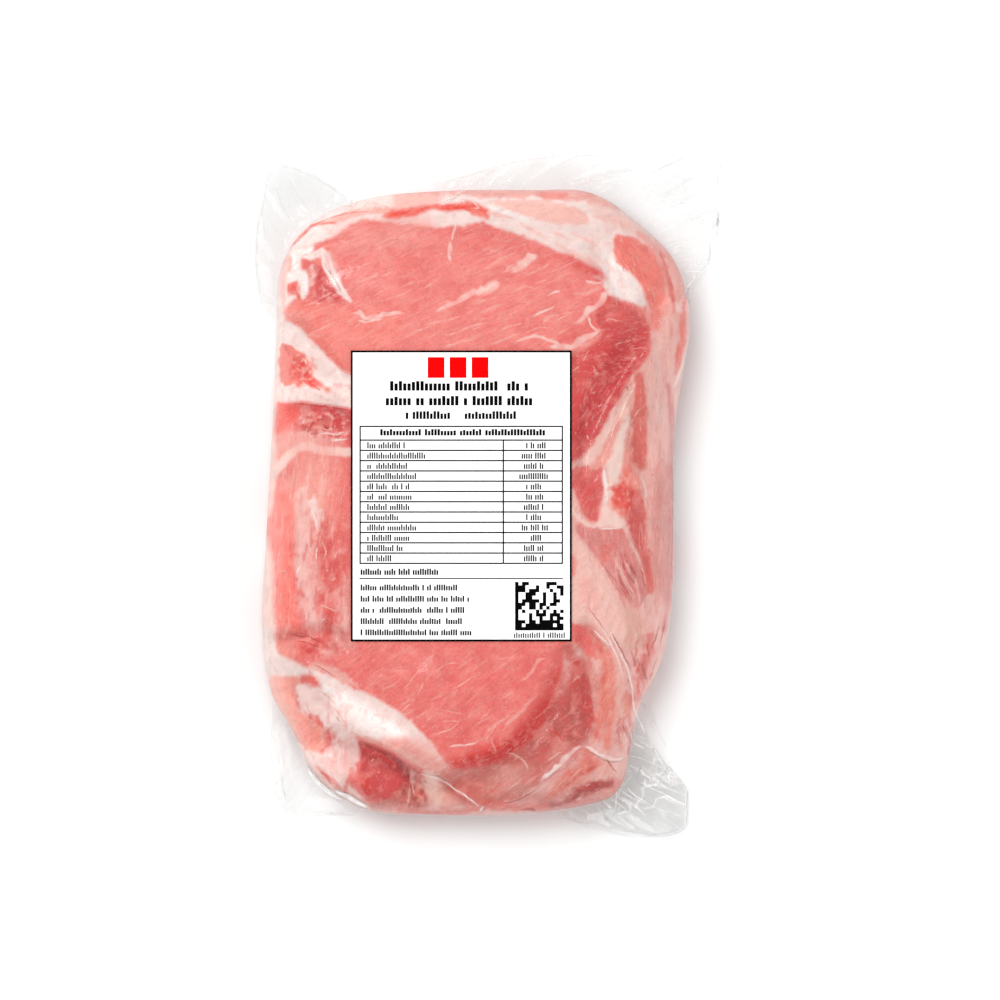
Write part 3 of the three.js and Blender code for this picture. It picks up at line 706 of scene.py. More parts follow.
# Torn places: small pale and deep bits lie close together where the muscles were pulled apart. Each has
# its middle, its reach, the size of its bits, their two colours and how strongly they show.
torn_places = [
    ((-57, -27), (10, 24), (1.3, 3.6), (248, 184, 176), (212, 92, 92), 0.5),
    ((-56, 24), (11, 6), (2.0, 1.1), (248, 192, 182), (192, 56, 66), 0.7),
    ((-64, 43), (6, 7), (1.6, 1.2), (252, 206, 196), (230, 82, 78), 0.5),
    ((46.5, 0), (7, 8), (1.3, 2.0), (252, 204, 192), (224, 80, 76), 0.4),
    ((-52, -82), (7, 17), (1.2, 2.6), (255, 238, 232), (246, 164, 156), 0.4),
    ((-56, 69), (6, 4), (1.0, 1.4), (246, 176, 170), (196, 70, 76), 0.55),
    ((-25, -102), (6, 8), (1.2, 2.2), (240, 186, 174), (158, 66, 64), 0.6),
    ((47.5, -84), (4, 10), (1.0, 2.4), (246, 210, 204), (190, 90, 88), 0.5),
    ((-57, -54), (8, 4), (2.2, 1.0), (248, 186, 178), (214, 88, 86), 0.55),
    ((53, -60), (4, 12), (0.9, 3.2), (246, 190, 182), (206, 84, 84), 0.6),
]
for centre, reach, size, pale, deep, strength in torn_places:
    away = ((meat_x - centre[0]) / reach[0]) ** 2 + ((meat_y - centre[1]) / reach[1]) ** 2
    bits = unevenness(meat_x / size[0], meat_y / size[1], 1.0, 31)
    bits += 0.5 * unevenness(meat_x / size[0], meat_y / size[1], 0.5, 32)
    cover = smooth(1.6 * (1 - away)) * strength
    lay(pale, cover * smooth(2.4 * bits - 0.4))
    lay(deep, cover * smooth(-2.4 * bits - 0.4))

# Grain: the muscle fibres run up to the right in both eyes and along the slab on its left side. Each
# field has its middle, its reach and the way its fibres run, in degrees from +X.
grain_fields = [
    ((-10, 72), (70, 30), 24),
    ((-10, -75), (46, 28), 38),
    ((-66, -18), (16, 38), 84),
    ((44, 52), (15, 14), 8),
    ((38, 26), (12, 14), 60),
    ((-36, -98), (16, 12), 70),
    ((52, 78), (14, 18), 110),
    ((60, 0), (12, 60), 90),
    ((48, -72), (16, 24), 65),
]
grain_centre = np.array([centre for centre, _, _ in grain_fields])
grain_reach = np.array([reach for _, reach, _ in grain_fields])
grain_turn = np.radians([degrees for _, _, degrees in grain_fields])[:, None]
from_x = meat_x - grain_centre[:, :1]
from_y = meat_y - grain_centre[:, 1:]
grain_away = (from_x / grain_reach[:, :1]) ** 2 + (from_y / grain_reach[:, 1:]) ** 2
grain_border_sharpness = 30
grain_pull = np.exp(-grain_border_sharpness * (grain_away - grain_away.min(0)))
grain_pull /= grain_pull.sum(0)
along_grain = (grain_pull * (from_x * np.cos(grain_turn) + from_y * np.sin(grain_turn))).sum(0)
across_grain = (grain_pull * (from_y * np.cos(grain_turn) - from_x * np.sin(grain_turn))).sum(0)
# 1 inside a field and 0 where two fields meet
steady = smooth((grain_pull.max(0) - 0.88) / 0.1)


def store(mesh, name, kind, values):
    layer = mesh.attributes.new(name, kind, "POINT")
    key = {"FLOAT": "value", "FLOAT_VECTOR": "vector", "FLOAT_COLOR": "color"}[kind]
    layer.data.foreach_set(key, np.ascontiguousarray(values, np.float32).ravel())


# Fibres vary a little, and painted light brightens the colour where the meat turns down to the side or hangs
# over a fold, against the shade that the relief gives it there
tint *= 1 + 0.07 * (steady * unevenness(along_grain, 2.6 * across_grain, 3.4, 23))[:, None]
from_pole = np.hypot(meat_x - pole[0], meat_y - pole[1])
inside = slab_reach(np.arctan2(meat_y - pole[1], meat_x - pole[0])) - from_pole
painted_edge_light = 0.15 * smooth(1 - inside / 16) * smooth((meat_y + 104) / 20)
for overhang in ([(-72, 34.5), (-60, 35.5), (-47, 34)], [(-50, -73), (-40, -79), (-32, -84)],
                 [(-72, 0), (-72, -22), (-70, -44)], [(-74, -68), (-64, -86), (-54, -98)]):
    distance, _ = line_distance(meat_x, meat_y, overhang)
    painted_edge_light += 0.22 * smooth(1.3 - distance / 5)
tint = np.minimum(tint * (1 + painted_edge_light)[:, None], 0.95)
muscle_green = bare(muscle)[1]
fat_green = bare(fat)[1]
fatness = np.clip((tint[:, 1] - muscle_green) / (fat_green - muscle_green), 0, 1)
shown_side = smooth((meat_z - seam_height + 6) / 6)
store(meat.data, "tissue", "FLOAT_COLOR", np.column_stack([tint, np.ones(len(tint))]))
store(meat.data, "fatness", "FLOAT", fatness)
store(meat.data, "grain", "FLOAT_VECTOR", np.column_stack([along_grain, across_grain, meat_z]))
store(meat.data, "shown_side", "FLOAT", shown_side)
store(meat.data, "steady", "FLOAT", steady)


class Value:
    """A shader socket that takes part in Python expressions."""

    def __init__(self, tree, socket):
        self.tree = tree
        self.socket = socket

    def math(self, operation, *others):
        node = self.tree.nodes.new("ShaderNodeMath")
        node.operation = operation
        for slot, item in enumerate((self, *others)):
            if isinstance(item, Value):
                self.tree.links.new(item.socket, node.inputs[slot])
            else:
                node.inputs[slot].default_value = item
        return Value(self.tree, node.outputs[0])

    def __add__(self, other):
        return self.math("ADD", other)

    __radd__ = __add__

    def __sub__(self, other):
        return self.math("SUBTRACT", other)

    def __rsub__(self, other):
        return (self * -1.0).math("ADD", other)

    def __mul__(self, other):
        return self.math("MULTIPLY", other)

    __rmul__ = __mul__

    def step(self, low, high):
        """0 below low, 1 above high and smooth between; low may be the larger one."""
        node = self.tree.nodes.new("ShaderNodeMapRange")
        node.interpolation_type = "SMOOTHSTEP"
        self.tree.links.new(self.socket, node.inputs["Value"])
        if low > high:
            node.inputs["From Min"].default_value = high
            node.inputs["From Max"].default_value = low
            node.inputs["To Min"].default_value = 1.0
            node.inputs["To Max"].default_value = 0.0
        else:
            node.inputs["From Min"].default_value = low
            node.inputs["From Max"].default_value = high
        return Value(self.tree, node.outputs["Result"])


class Nodes:
    """A node tree that grows one node at a time."""

    def __init__(self, tree):
        self.tree = tree

    def node(self, kind, settings, inputs, output=0):
        """Adds any node; the settings go on the node before its sockets are filled."""
        node = self.tree.nodes.new(kind)
        for key, value in settings.items():
            setattr(node, key, value)
        for key, value in inputs.items():
            if isinstance(value, Value):
                self.tree.links.new(value.socket, node.inputs[key])
            else:
                node.inputs[key].default_value = value
        return Value(self.tree, node.outputs[output])


class Finish(Nodes):
    """A material with its Principled shader."""

    def __init__(self, name):
        self.material = bpy.data.materials.new(name)
        self.material.use_nodes = True
        super().__init__(self.material.node_tree)
        self.shader = self.tree.nodes["Principled BSDF"]

    def mix(self, factor, first, second, blend="MIX"):
        """Mixes two colours; each is a Value or an (r, g, b, a)."""
        return self.node("ShaderNodeMix", {"data_type": "RGBA", "blend_type": blend},
                         {0: factor, 6: first, 7: second}, output=2)

    def noise(self, where, scale, detail=2.0, roughness=0.5, distortion=0.0):
        return self.node("ShaderNodeTexNoise", {}, {
            "Vector": where, "Scale": scale, "Detail": detail, "Roughness": roughness,
            "Distortion": distortion})

    def attribute(self, name, output="Fac"):
        return self.node("ShaderNodeAttribute", {"attribute_name": name}, {}, output=output)

    def place(self):
        return self.node("ShaderNodeTexCoord", {}, {}, output="Object")

    def feed(self, socket, value):
        if isinstance(value, Value):
            self.tree.links.new(value.socket, self.shader.inputs[socket])
        else:
            self.shader.inputs[socket].default_value = value

    def bump(self, strength, distance, height):
        """Raises the surface by the distance, in metres, where the height is 1."""
        self.feed("Normal", self.node("ShaderNodeBump", {}, {
            "Strength": strength, "Distance": distance, "Height": height}))


def opaque(colour):
    return (*linear(colour), 1.0)


def flesh_of(colour):
    return (*bare(colour), 1.0)


flesh = Finish("raw_loin")
place = flesh.place()
tissue = flesh.attribute("tissue", "Color")
fat_share = flesh.attribute("fatness")
shown = flesh.attribute("shown_side")
grain = flesh.attribute("grain", "Vector")
fibre_place = flesh.node("ShaderNodeMapping", {}, {"Vector": grain, "Scale": (0.13, 0.85, 0.4)})
streak_place = flesh.node("ShaderNodeMapping", {}, {"Vector": grain, "Scale": (0.09, 0.62, 0.3)})
broad = flesh.noise(place, 60.0, 2.0)
blotch = flesh.noise(place, 190.0, 2.0, 0.5)
fine = flesh.noise(place, 1100.0, 3.0, 0.65)
mottle = flesh.noise(place, 320.0, 3.0, 0.6)
fibres = flesh.noise(fibre_place, 1.0, 3.0, 0.6, 0.7)
pale_streaks = flesh.noise(streak_place, 1.0, 2.0, 0.45, 0.9)

# The side the slab lies on isn't seen from above, so its fat and muscle are laid by noise alone
hidden_fat = flesh.noise(place, 28.0, 3.0, 0.55).step(0.52, 0.60) * (1.0 - shown)
lean = (1.0 - fat_share) * (1.0 - hidden_fat)
steady_grain = flesh.attribute("steady")
lined = lean * steady_grain * (broad.step(0.38, 0.60) * 0.65 + 0.35)
half_fat = fat_share * (1.0 - fat_share) * steady_grain * 3.4
base = tissue
# Layers over the tissue's own colour: how much of each shows, and its colour
for amount, colour in (
        (1.0 - shown, muscle),
        (hidden_fat, fat),
        (lean * blotch.step(0.47, 0.34) * 0.30, (228, 98, 96)),
        (lean * blotch.step(0.52, 0.66) * 0.34, (254, 166, 156)),
        (lean * mottle.step(0.54, 0.70) * 0.24, (254, 176, 166)),
        (lined * fibres.step(0.46, 0.30) * 0.42, (224, 96, 95)),
        (lined * fibres.step(0.55, 0.68) * 0.40, (254, 168, 158)),
        (lined * pale_streaks.step(0.64, 0.71) * 0.48, (252, 196, 186)),
        (lean * fine.step(0.52, 0.36) * 0.26, (216, 90, 90)),
        (lean * fine.step(0.56, 0.72) * 0.28, (254, 176, 166)),
        (lean * broad.step(0.35, 0.75) * 0.15, (247, 152, 140)),
        (half_fat * fibres.step(0.48, 0.32) * 0.26, (228, 144, 134)),
        (half_fat * fibres.step(0.54, 0.70) * 0.34, (252, 212, 204)),
        (half_fat * pale_streaks.step(0.60, 0.70) * 0.34, (253, 224, 216)),
        (fat_share * mottle.step(0.50, 0.66) * 0.42, (246, 196, 186)),
        (fat_share * steady_grain * fibres.step(0.54, 0.72) * 0.22, (248, 204, 196)),
        (fat_share * fine.step(0.50, 0.34) * 0.14, (232, 176, 168)),
):
    base = flesh.mix(amount, base, flesh_of(colour))
flesh.feed("Base Color", base)
flesh.feed("Roughness", 0.36 - fat_share * 0.06)
flesh.feed("Specular IOR Level", 0.45)
flesh.bump(0.6, 0.0005, fibres * 0.5 + fine * 0.3 + mottle * 0.35)
meat.data.materials.append(flesh.material)
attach(meat, "root")
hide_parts("sealed_bag")

# Marbling and membranes: white threads of fat in the two eyes, pale and dark lines between the muscles. The
# dark lines are partly the meat's own dark streaks and partly painted shade in the seams, folds and clefts;
# a few white bits on the left bulge are painted highlights.
# For each colour and how strongly it covers, lines of the width they reach in the middle and their points.
meat_lines = [
    ((253, 216, 207), 0.9, [
        (2.8, (-47.5, 62.5), (-45, 62.5), (-42.5, 61), (-39.5, 61), (-36, 62), (-32.5, 62.5),
            (-28.5, 62.5)),
        (1.4, (-45.5, 60), (-42.5, 59.5), (-39, 60), (-36, 60.5)),
        (1.4, (-45, 64), (-43.5, 62), (-42.5, 59.5)),
        (2.8, (-19, 62.5), (-14, 65), (-9.5, 67), (-5, 69.5), (-1.5, 70.5), (4, 73)),
        (5.2, (-5, 69.3), (0.5, 71), (4.5, 73)), (4.8, (7.5, 76.8), (11, 78.5), (14, 81), (17.5, 82.7)),
        (1.4, (-11, 94), (-12, 90), (-12.5, 87)), (2.6, (-12.8, 87.5), (-13.2, 84), (-12.8, 80)),
        (3.2, (29.5, 58.5), (32.5, 60.5), (34.5, 63), (37.5, 65), (40, 67), (41.5, 72)),
        (1.8, (33.5, 74), (36, 73), (40, 73)), (1.4, (34.5, 61.5), (36, 58), (38, 56)),
        (3.4, (20, 51), (28, 50.8), (34.5, 54.2), (40, 57)),
        (1.8, (9, 52.5), (16.5, 54.5), (22.5, 52.5), (26, 51)), (1.2, (20, 68), (22.5, 69.5), (25.5, 70)),
        (1.2, (15, 61), (18, 62.5), (20.5, 63.5), (23.5, 65)),
        (1.2, (-14, -87.5), (-9, -87), (-5.5, -86.5), (-2.5, -85)),
    ]),
    ((252, 192, 182), 0.72, [
        (0.9, (40.5, 59.5), (42.5, 60.5), (45, 59.5)), (1.2, (0.5, 83.5), (2.5, 84.5)),
        (1.1, (-51.5, 88), (-49.5, 87), (-47, 87.5)), (1, (2.5, 79), (4, 81), (5, 82.5)),
        (1.2, (16.5, 73), (21, 74)), (1.4, (-22, 58), (-16.5, 59.5), (-8.5, 61.5)),
        (1.2, (-28.5, 54), (-21.5, 57.5)), (1.6, (-16.5, 50), (-9.5, 52.5), (-3, 54)),
        (1.4, (-15, 54), (-8, 57), (0.5, 59.5)), (1.1, (4, 57), (8.5, 58), (12.5, 59)),
        (0.9, (11, 66), (16, 67)), (0.9, (7, 61.5), (11, 63.5)), (0.8, (-6, 56.5), (-2, 58)),
        (0.8, (-37.5, 66.5), (-36, 67)), (0.9, (25.5, 63), (29, 65), (32, 67)),
        (0.8, (21, 59), (25, 60.5), (28.5, 62.5)), (0.8, (23.5, 74), (27, 76), (30, 76.5)),
        (0.8, (7.5, 69), (13, 71.5), (18, 70.5)), (0.8, (12.5, 55.5), (18, 57.5), (22, 57)),
        (0.8, (-6, 65), (-1.5, 66.5), (3, 68)), (1.8, (11, -65.5), (15, -62), (17.5, -58), (21, -56.5)),
        (2.2, (5, -81), (9.5, -77.5), (13.5, -73), (17.5, -69)),
        (1, (-20, -83.5), (-13, -81.5), (-8.5, -77)), (1, (-16.5, -74.5), (-12, -75.5), (-8.5, -76)),
        (0.9, (-0.5, -86.5), (0, -84), (2.5, -80.5)), (1.1, (-30, -76), (-28.5, -74), (-26.5, -72.5)),
        (1, (-24.5, -70), (-23, -67), (-22, -65)), (0.8, (-33, -61.5), (-27, -61)),
        (0.8, (-37.5, -68), (-33.5, -66.5), (-30.5, -64.5)), (0.8, (-13, -68), (-9, -66), (-5, -63)),
        (0.8, (-6, -62), (-3, -59)), (0.8, (-20, -71.5), (-15.5, -69.5)),
        (0.9, (-3, -78.5), (0.5, -75.5)), (0.9, (0.5, -83.5), (2, -87), (3, -89.5)),
        (0.8, (-29, -68), (-26.5, -64.5), (-23.5, -60.5)),
        (0.8, (-18.5, -62), (-14.5, -59), (-9.5, -58.5)), (0.7, (4, -71.5), (7, -69.5), (9.5, -68)),
        (0.7, (-16.5, -79), (-12.5, -78.5), (-9.5, -79)), (0.7, (3.5, -57.5), (7.5, -56.5)),
    ]),
    ((255, 240, 234), 0.75, [
        (2.4, (-58, 84), (-57, 81.5), (-56.5, 78.5), (-54, 75), (-52.5, 72)),
        (1.4, (-55.5, 83.5), (-54.5, 80), (-52.5, 75), (-49.5, 70), (-46.5, 66)),
        (2.2, (-65, 76.5), (-64.5, 71.5), (-64, 68.5)), (1.2, (-65, 82), (-62.5, 82), (-59.5, 82)),
        (0.9, (-65, 45.5), (-63.5, 46.5), (-62.5, 44.5)),
        (0.9, (-64.5, 39), (-62.5, 36.5), (-60.5, 35.5)),
        (1, (-59, 20.5), (-55.5, 21), (-52.5, 20.5), (-49.5, 21.5)),
        (0.8, (-52.5, 19.5), (-52.5, 17.5)), (0.8, (-55, 18.5), (-51.5, 18.5), (-48, 19)),
        (0.8, (-65.5, 25.5), (-64.5, 27)), (0.8, (-64, 24), (-63.5, 25.5)),
        (0.7, (-57.5, 23), (-55.5, 22), (-53.5, 23)), (1.2, (38, -12), (42.5, -12), (47, -11.5)),
        (0.7, (40, 9), (40.5, 4), (41, -2)), (0.8, (53, 5.5), (54.5, 2), (55, -2)),
        (1, (-10.5, 102.5), (-8.5, 101.5), (-8.5, 100)),
        (0.8, (-6, 102), (-4, 100), (-3, 99), (-5.5, 99)),
        (1.4, (-16.5, 101), (-14, 101), (-11, 103), (-8.5, 104)),
        (1.2, (-46.5, 99.5), (-46, 101), (-44.5, 101.6)), (1, (-43.5, 99), (-42.5, 101), (-41, 102)),
        (1, (-40.5, 98.5), (-39, 101)), (1.2, (-36, 100), (-34, 102), (-31, 102.5)),
        # Painted highlights: small white glints on the left bulge
        (1, (-61.5, -4.5), (-60, -8.5), (-59, -12.5)), (0.8, (-59, -18), (-59.5, -23)),
        (0.8, (-63, -41), (-62.5, -44)), (0.9, (-65, -25), (-66.5, -28)),
    ]),
    ((248, 200, 190), 0.76, [
        (1.1, (47, -12), (48.5, -15), (50, -18), (52, -22), (53.5, -26), (54.5, -30), (55, -33.5)),
        (0.9, (45, -23.5), (46.5, -27.5), (48.5, -31), (50.5, -35), (52, -37)),
        (1.2, (39, -25), (41, -28), (43, -31.5), (45, -36), (47, -40.5), (48.5, -45)),
        (0.8, (35.5, -20.5), (38, -24), (40.5, -27), (42.5, -31.5), (44.5, -37)),
        (0.8, (33.5, -23), (37, -28), (40.5, -33.5), (43, -39), (45, -44.5)),
        (0.8, (31, -27), (34.5, -32), (38, -38.5), (41, -44.5)),
        (0.8, (51.5, -39), (52.5, -44), (53.5, -48.5)), (0.8, (48.5, -41), (50.5, -46.5), (52, -52)),
        (0.7, (58, 41), (59, 32.5), (60, 27)), (0.6, (55.5, 44.5), (57, 38), (58, 33)),
        (0.7, (50.5, 25.5), (51.5, 28), (53.5, 30)), (0.7, (49.5, 24), (50.5, 26.5)),
        (0.7, (33, 45.5), (34, 48), (35.5, 50)), (0.7, (29, 42), (32, 44.5)),
        (0.8, (36, 34.5), (37.5, 35.5)), (0.8, (38, 30), (39.5, 31)), (0.8, (34, 23), (34.5, 25)),
        (1.1, (34.5, 20.5), (34.5, 18.5)), (0.8, (36, 44.5), (38, 42)), (0.7, (44, 51.5), (46.5, 52.5)),
        (0.8, (52.5, 47), (54, 49)), (0.7, (55, 22), (55.5, 17.5), (55, 11.5)), (0.7, (57, 8), (57.5, 4)),
        (1, (53, -64), (52.5, -69)), (1, (55, -64), (56, -69)),
        (1, (45.5, -87), (47.5, -82.5), (49.5, -87)), (0.8, (46.5, -89.5), (48.5, -86)),
        (1.2, (41.5, -96), (43.5, -98), (46, -100)),
        (1, (6, -90), (8.5, -90), (11, -91.5), (13, -93.5), (14, -96.5)),
        (1, (20, -93), (23, -91), (25.5, -89)), (0.9, (26.5, -103), (28, -105)),
        (0.9, (33.5, -101.5), (36, -100.5)),
        (0.8, (-73, -28), (-72, -27), (-69.5, -27), (-70, -29.5), (-71.5, -31)),
        (1.2, (-59, -33.5), (-57.5, -32)), (0.8, (-56, -27), (-55, -26)), (0.8, (-54, -30), (-52.5, -29)),
        (0.8, (-57.5, -16), (-56, -20), (-57, -23.5)), (1.2, (-58.5, -44.5), (-56, -43)),
        (1, (-58.5, -38.5), (-55, -39.5), (-52, -41)), (0.8, (-53, -22.5), (-52, -19.5)),
        (0.7, (-53.5, 2.5), (-55, 0), (-56, -1.5)), (0.8, (-50, -33.5), (-49, -30.5)),
        (0.8, (-68.5, 7.5), (-68.5, 3.5), (-68.5, 0)), (0.8, (-55, -35.5), (-53.5, -33.5)),
        (0.8, (-61, -37), (-59.5, -40.5)), (0.8, (-53.5, -44), (-51.5, -46)),
        (0.9, (-72, -35.5), (-70.5, -34)), (0.8, (-40.5, -93), (-39.5, -91.5)),
        (0.8, (-38, -97), (-37.5, -96)), (0.8, (-27, -98.5), (-26, -102), (-25.5, -105)),
        (0.8, (-55, -73), (-52, -75.5), (-50, -78.5), (-48, -80.5)),
        (0.8, (-59, -68), (-55.5, -70), (-52.5, -73)), (0.8, (-63, -71.5), (-62, -75.5), (-59, -79)),
        (0.8, (-52, -85), (-50.5, -89), (-51.5, -93)),
        (0.8, (-59, -59), (-55, -61), (-50, -64.5), (-47, -67.5)),
    ]),
    # Partly the meat's own dark streaks, partly painted shade in seams, folds and clefts
    ((182, 76, 78), 0.5, [
        (0.9, (-57, 80.5), (-55, 77), (-52.5, 73), (-50, 68.5)), (0.7, (-60.5, 79), (-59.5, 77)),
        (0.9, (-67, 31.2), (-61, 30.6), (-55, 30)), (0.8, (-55, 30), (-50, 29.2), (-47, 28.4)),
        (0.8, (-57.5, 24), (-55, 22)), (0.8, (-53.5, 19.5), (-49.5, 20)),
        (1, (-68.5, -48.5), (-65, -49.5), (-62, -49.5), (-59, -51), (-56.5, -52)),
        (0.7, (-66.5, -51), (-62.5, -51.5), (-59, -53), (-57, -53)),
        (0.9, (47, -20), (47.5, -22.5), (48.5, -24.5)),
        (1.6, (45, -27), (46, -30.5), (47.5, -33), (49.5, -36), (50.5, -38)),
        (2.4, (49.5, -24.5), (50, -27.5), (51, -31.5)),
        (0.6, (39, -23.5), (41.5, -27), (44.5, -30.5), (47, -34), (50, -38.5)),
        (1.6, (49.5, -54), (50.5, -57), (51, -60.5)), (1.2, (51.5, -56.5), (53, -60)),
        (1.8, (53, -57.5), (54, -61), (55.5, -65.5)), (0.8, (55, -52), (56, -57)),
        (0.8, (34, -38.5), (37.5, -43), (41, -48.5)), (0.8, (42.5, -48), (45, -52), (47, -56), (49, -60)),
        (1, (46.5, -79), (47.5, -82.5), (49.5, -86)), (0.8, (45, -82), (46, -85.5)),
        (0.9, (41, -91.5), (43, -95), (45, -97)), (1.4, (26, -108), (30, -105.5), (33.5, -102.5)),
        (0.8, (4, -107.5), (9.5, -106.5), (14.5, -104), (18.5, -101)),
        (1.2, (11, -110), (14.5, -109.5), (18, -111)), (0.8, (30.5, 25.5), (33.5, 29), (34.5, 32.5)),
        (0.8, (48, 37.5), (48.5, 35.5)), (0.8, (61.5, -44), (60.5, -49), (59.5, -53.5)),
        (0.8, (-52.5, -77), (-51.5, -79)), (0.8, (-60.5, -59), (-57, -60.5), (-53.5, -63)),
        (0.8, (59.5, -45), (58, -50.5), (56, -55)),
    ]),
    ((244, 84, 74), 0.55, [
        (1.2, (-68.8, 84.8), (-66.8, 87.2), (-64, 89.8), (-61.5, 91.8)),
        (1.4, (-12.5, 99), (-9, 99), (-6, 98)), (1.6, (-33.5, 96.5), (-30, 97), (-25.5, 99)),
        (1, (-62, 38.5), (-59, 36.5), (-57.5, 35.5)), (1.6, (-66.5, 44.5), (-64, 43)),
        (1.2, (47.5, 2), (48, -2)), (1.6, (53, -26), (54, -29), (54.5, -33.5)),
        (1.2, (-58.5, -96), (-56, -98), (-54, -101.5)), (1.2, (-50.5, -104.5), (-48, -104)),
        (0.9, (20.5, -81.5), (24.5, -83.5), (25.5, -86)),
        (1, (-61, 93), (-55, 95.5), (-48, 97.5), (-40.5, 98)),
    ]),
]


def skin_of(piece):
    """A piece's skin, for finding its height under a point."""
    return BVHTree.FromPolygons(
        [vertex.co for vertex in piece.data.vertices], [face.vertices for face in piece.data.polygons])


def height_on(skin, x, y):
    hit = skin.ray_cast((x * MM, y * MM, 0.1), (0, 0, -1))[0]
    return hit.z / MM if hit else seam_height


def paint_of(colour, slot):
    """A line's own colour: what lies in the meat is seen through the film, what lies on the film isn't."""
    return bare(colour) if slot == "wrapped_meat" else linear(colour) / studio_light


# A sliver's section, as shares of its half width, heights over the skin and how much it covers there
sliver_station = 0.8
sliver_across = (-1.0, -0.8, -0.35, 0.35, 0.8, 1.0)
sliver_lift = (-0.08, 0.02, 0.06, 0.06, 0.02, -0.08)
sliver_cover = (0.0, 0.0, 1.0, 1.0, 0.0, 0.0)


def slivers(name, groups, skin, seed, node, slot):
    """Closed slivers laid on a skin, broadest in the middle, that fade out at their sides and ends."""
    chance = np.random.default_rng(seed)
    points = []
    faces = []
    shades = []
    covers = []
    corners = len(sliver_across)
    for colour, strength, lines in groups:
        for width, *line in lines:
            curve = curve_through(line, steps=10)
            length = travelled(curve)[-1]
            count = max(5, int(length / sliver_station))
            wanted = np.linspace(0, length, count + 1)
            spine = points_at(curve, wanted)
            heading = np.gradient(spine, axis=0)
            heading /= np.hypot(*heading.T)[:, None]
            sideways = np.column_stack([-heading[:, 1], heading[:, 0]])
            share = wanted / length
            lumps = count // 2 + 2
            uneven = np.interp(share, np.linspace(0, 1, lumps), chance.uniform(-1, 1, lumps))
            half = width / 2 * np.maximum(1 - (2 * share - 1) ** 2, 0.03) ** 0.5 * (1.1 + 0.4 * uneven)
            spine = spine + sideways * (0.15 * width * uneven)[:, None]
            ends = smooth(6 * share + 0.1) * smooth(6 * (1 - share) + 0.1)
            ends *= np.interp(share, np.linspace(0, 1, lumps), chance.uniform(0.45, 1, lumps))
            start = len(points)
            for spot, side, reach, fade in zip(spine, sideways, half, ends):
                for across, lift, cover in zip(sliver_across, sliver_lift, sliver_cover):
                    corner = spot + side * across * reach
                    points.append((*corner, height_on(skin, *corner) + lift))
                    covers.append(cover * fade * strength)
            for station in range(count):
                here = start + corners * station
                for a in range(corners):
                    b = (a + 1) % corners
                    faces.append((here + a, here + b, here + corners + b, here + corners + a))
            faces.append(tuple(start + corner for corner in reversed(range(corners))))
            faces.append(tuple(start + corners * count + corner for corner in range(corners)))
            shades += [(*paint_of(colour, slot), 1.0)] * (corners * (count + 1))
    mesh = mesh_of(name, points, faces)
    work = bmesh.new()
    work.from_mesh(mesh)
    bmesh.ops.recalc_face_normals(work, faces=work.faces)
    work.to_mesh(mesh)
    work.free()
    store(mesh, "tissue", "FLOAT_COLOR", shades)
    store(mesh, "cover", "FLOAT", covers)
    mesh.materials.append(layered)
    piece = placed(name, mesh)
    piece.visible_shadow = False
    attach(piece, "root")
    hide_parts(node)


def layer(finish, cover):
    """Lets what lies under a finish show through it by 1 - cover."""
    see_through = finish.tree.nodes.new("ShaderNodeBsdfTransparent")
    blend = finish.tree.nodes.new("ShaderNodeMixShader")
    finish.tree.links.new(cover.socket, blend.inputs[0])
    finish.tree.links.new(see_through.outputs[0], blend.inputs[1])
    finish.tree.links.new(finish.shader.outputs[0], blend.inputs[2])
    finish.tree.links.new(blend.outputs[0], finish.tree.nodes["Material Output"].inputs["Surface"])
    return finish.material


sheen = Finish("drawn_line")
sheen.feed("Base Color", sheen.attribute("tissue", "Color"))
sheen.feed("Roughness", 0.34)
layered = layer(sheen, sheen.attribute("cover"))
slivers("meat_lines", meat_lines, skin_of(meat), 3, "sealed_bag", "wrapped_meat")


class Growth(Nodes):
    """A geometry tree whose named inputs are the sizes of what it makes."""

    def __init__(self, name, **sizes):
        super().__init__(bpy.data.node_groups.new(name, "GeometryNodeTree"))
        sockets = self.tree.interface
        sockets.new_socket("Geometry", in_out="OUTPUT", socket_type="NodeSocketGeometry")
        sockets.new_socket("Geometry", in_out="INPUT", socket_type="NodeSocketGeometry")
        for label, kind in {**sizes, "finish": "Material"}.items():
            sockets.new_socket(label, in_out="INPUT", socket_type="NodeSocket" + kind)
        self.inputs = self.tree.nodes.new("NodeGroupInput")

    def given(self, label):
        return Value(self.tree, self.inputs.outputs[label])

    def random(self, low, high, index, seed):
        return self.node("FunctionNodeRandomValue", {"data_type": "FLOAT"},
                         {2: low, 3: high, "ID": index, "Seed": seed}, output=1)

    def vector(self, x=0.0, y=0.0, z=0.0):
        return self.node("ShaderNodeCombineXYZ", {}, {"X": x, "Y": y, "Z": z})

    def close(self, shape):
        real = self.node("GeometryNodeRealizeInstances", {}, {0: shape})
        done = self.node("GeometryNodeSetMaterial", {}, {"Geometry": real, "Material": self.given("finish")})
        self.tree.links.new(done.socket, self.tree.nodes.new("NodeGroupOutput").inputs[0])


def grown(name, growth, base_mesh, **sizes):
    """The plain mesh piece that a geometry tree makes of a mesh with the given sizes."""
    holder = placed(name, base_mesh)
    modifier = holder.modifiers.new(name, "NODES")
    modifier.node_group = growth.tree
    for item in growth.tree.interface.items_tree:
        if item.in_out == "INPUT" and item.name in sizes:
            modifier[item.identifier] = sizes[item.name]
    mesh = bpy.data.meshes.new_from_object(holder.evaluated_get(bpy.context.evaluated_depsgraph_get()))
    holder.modifiers.clear()
    bpy.data.objects.remove(holder)
    return placed(name, mesh)


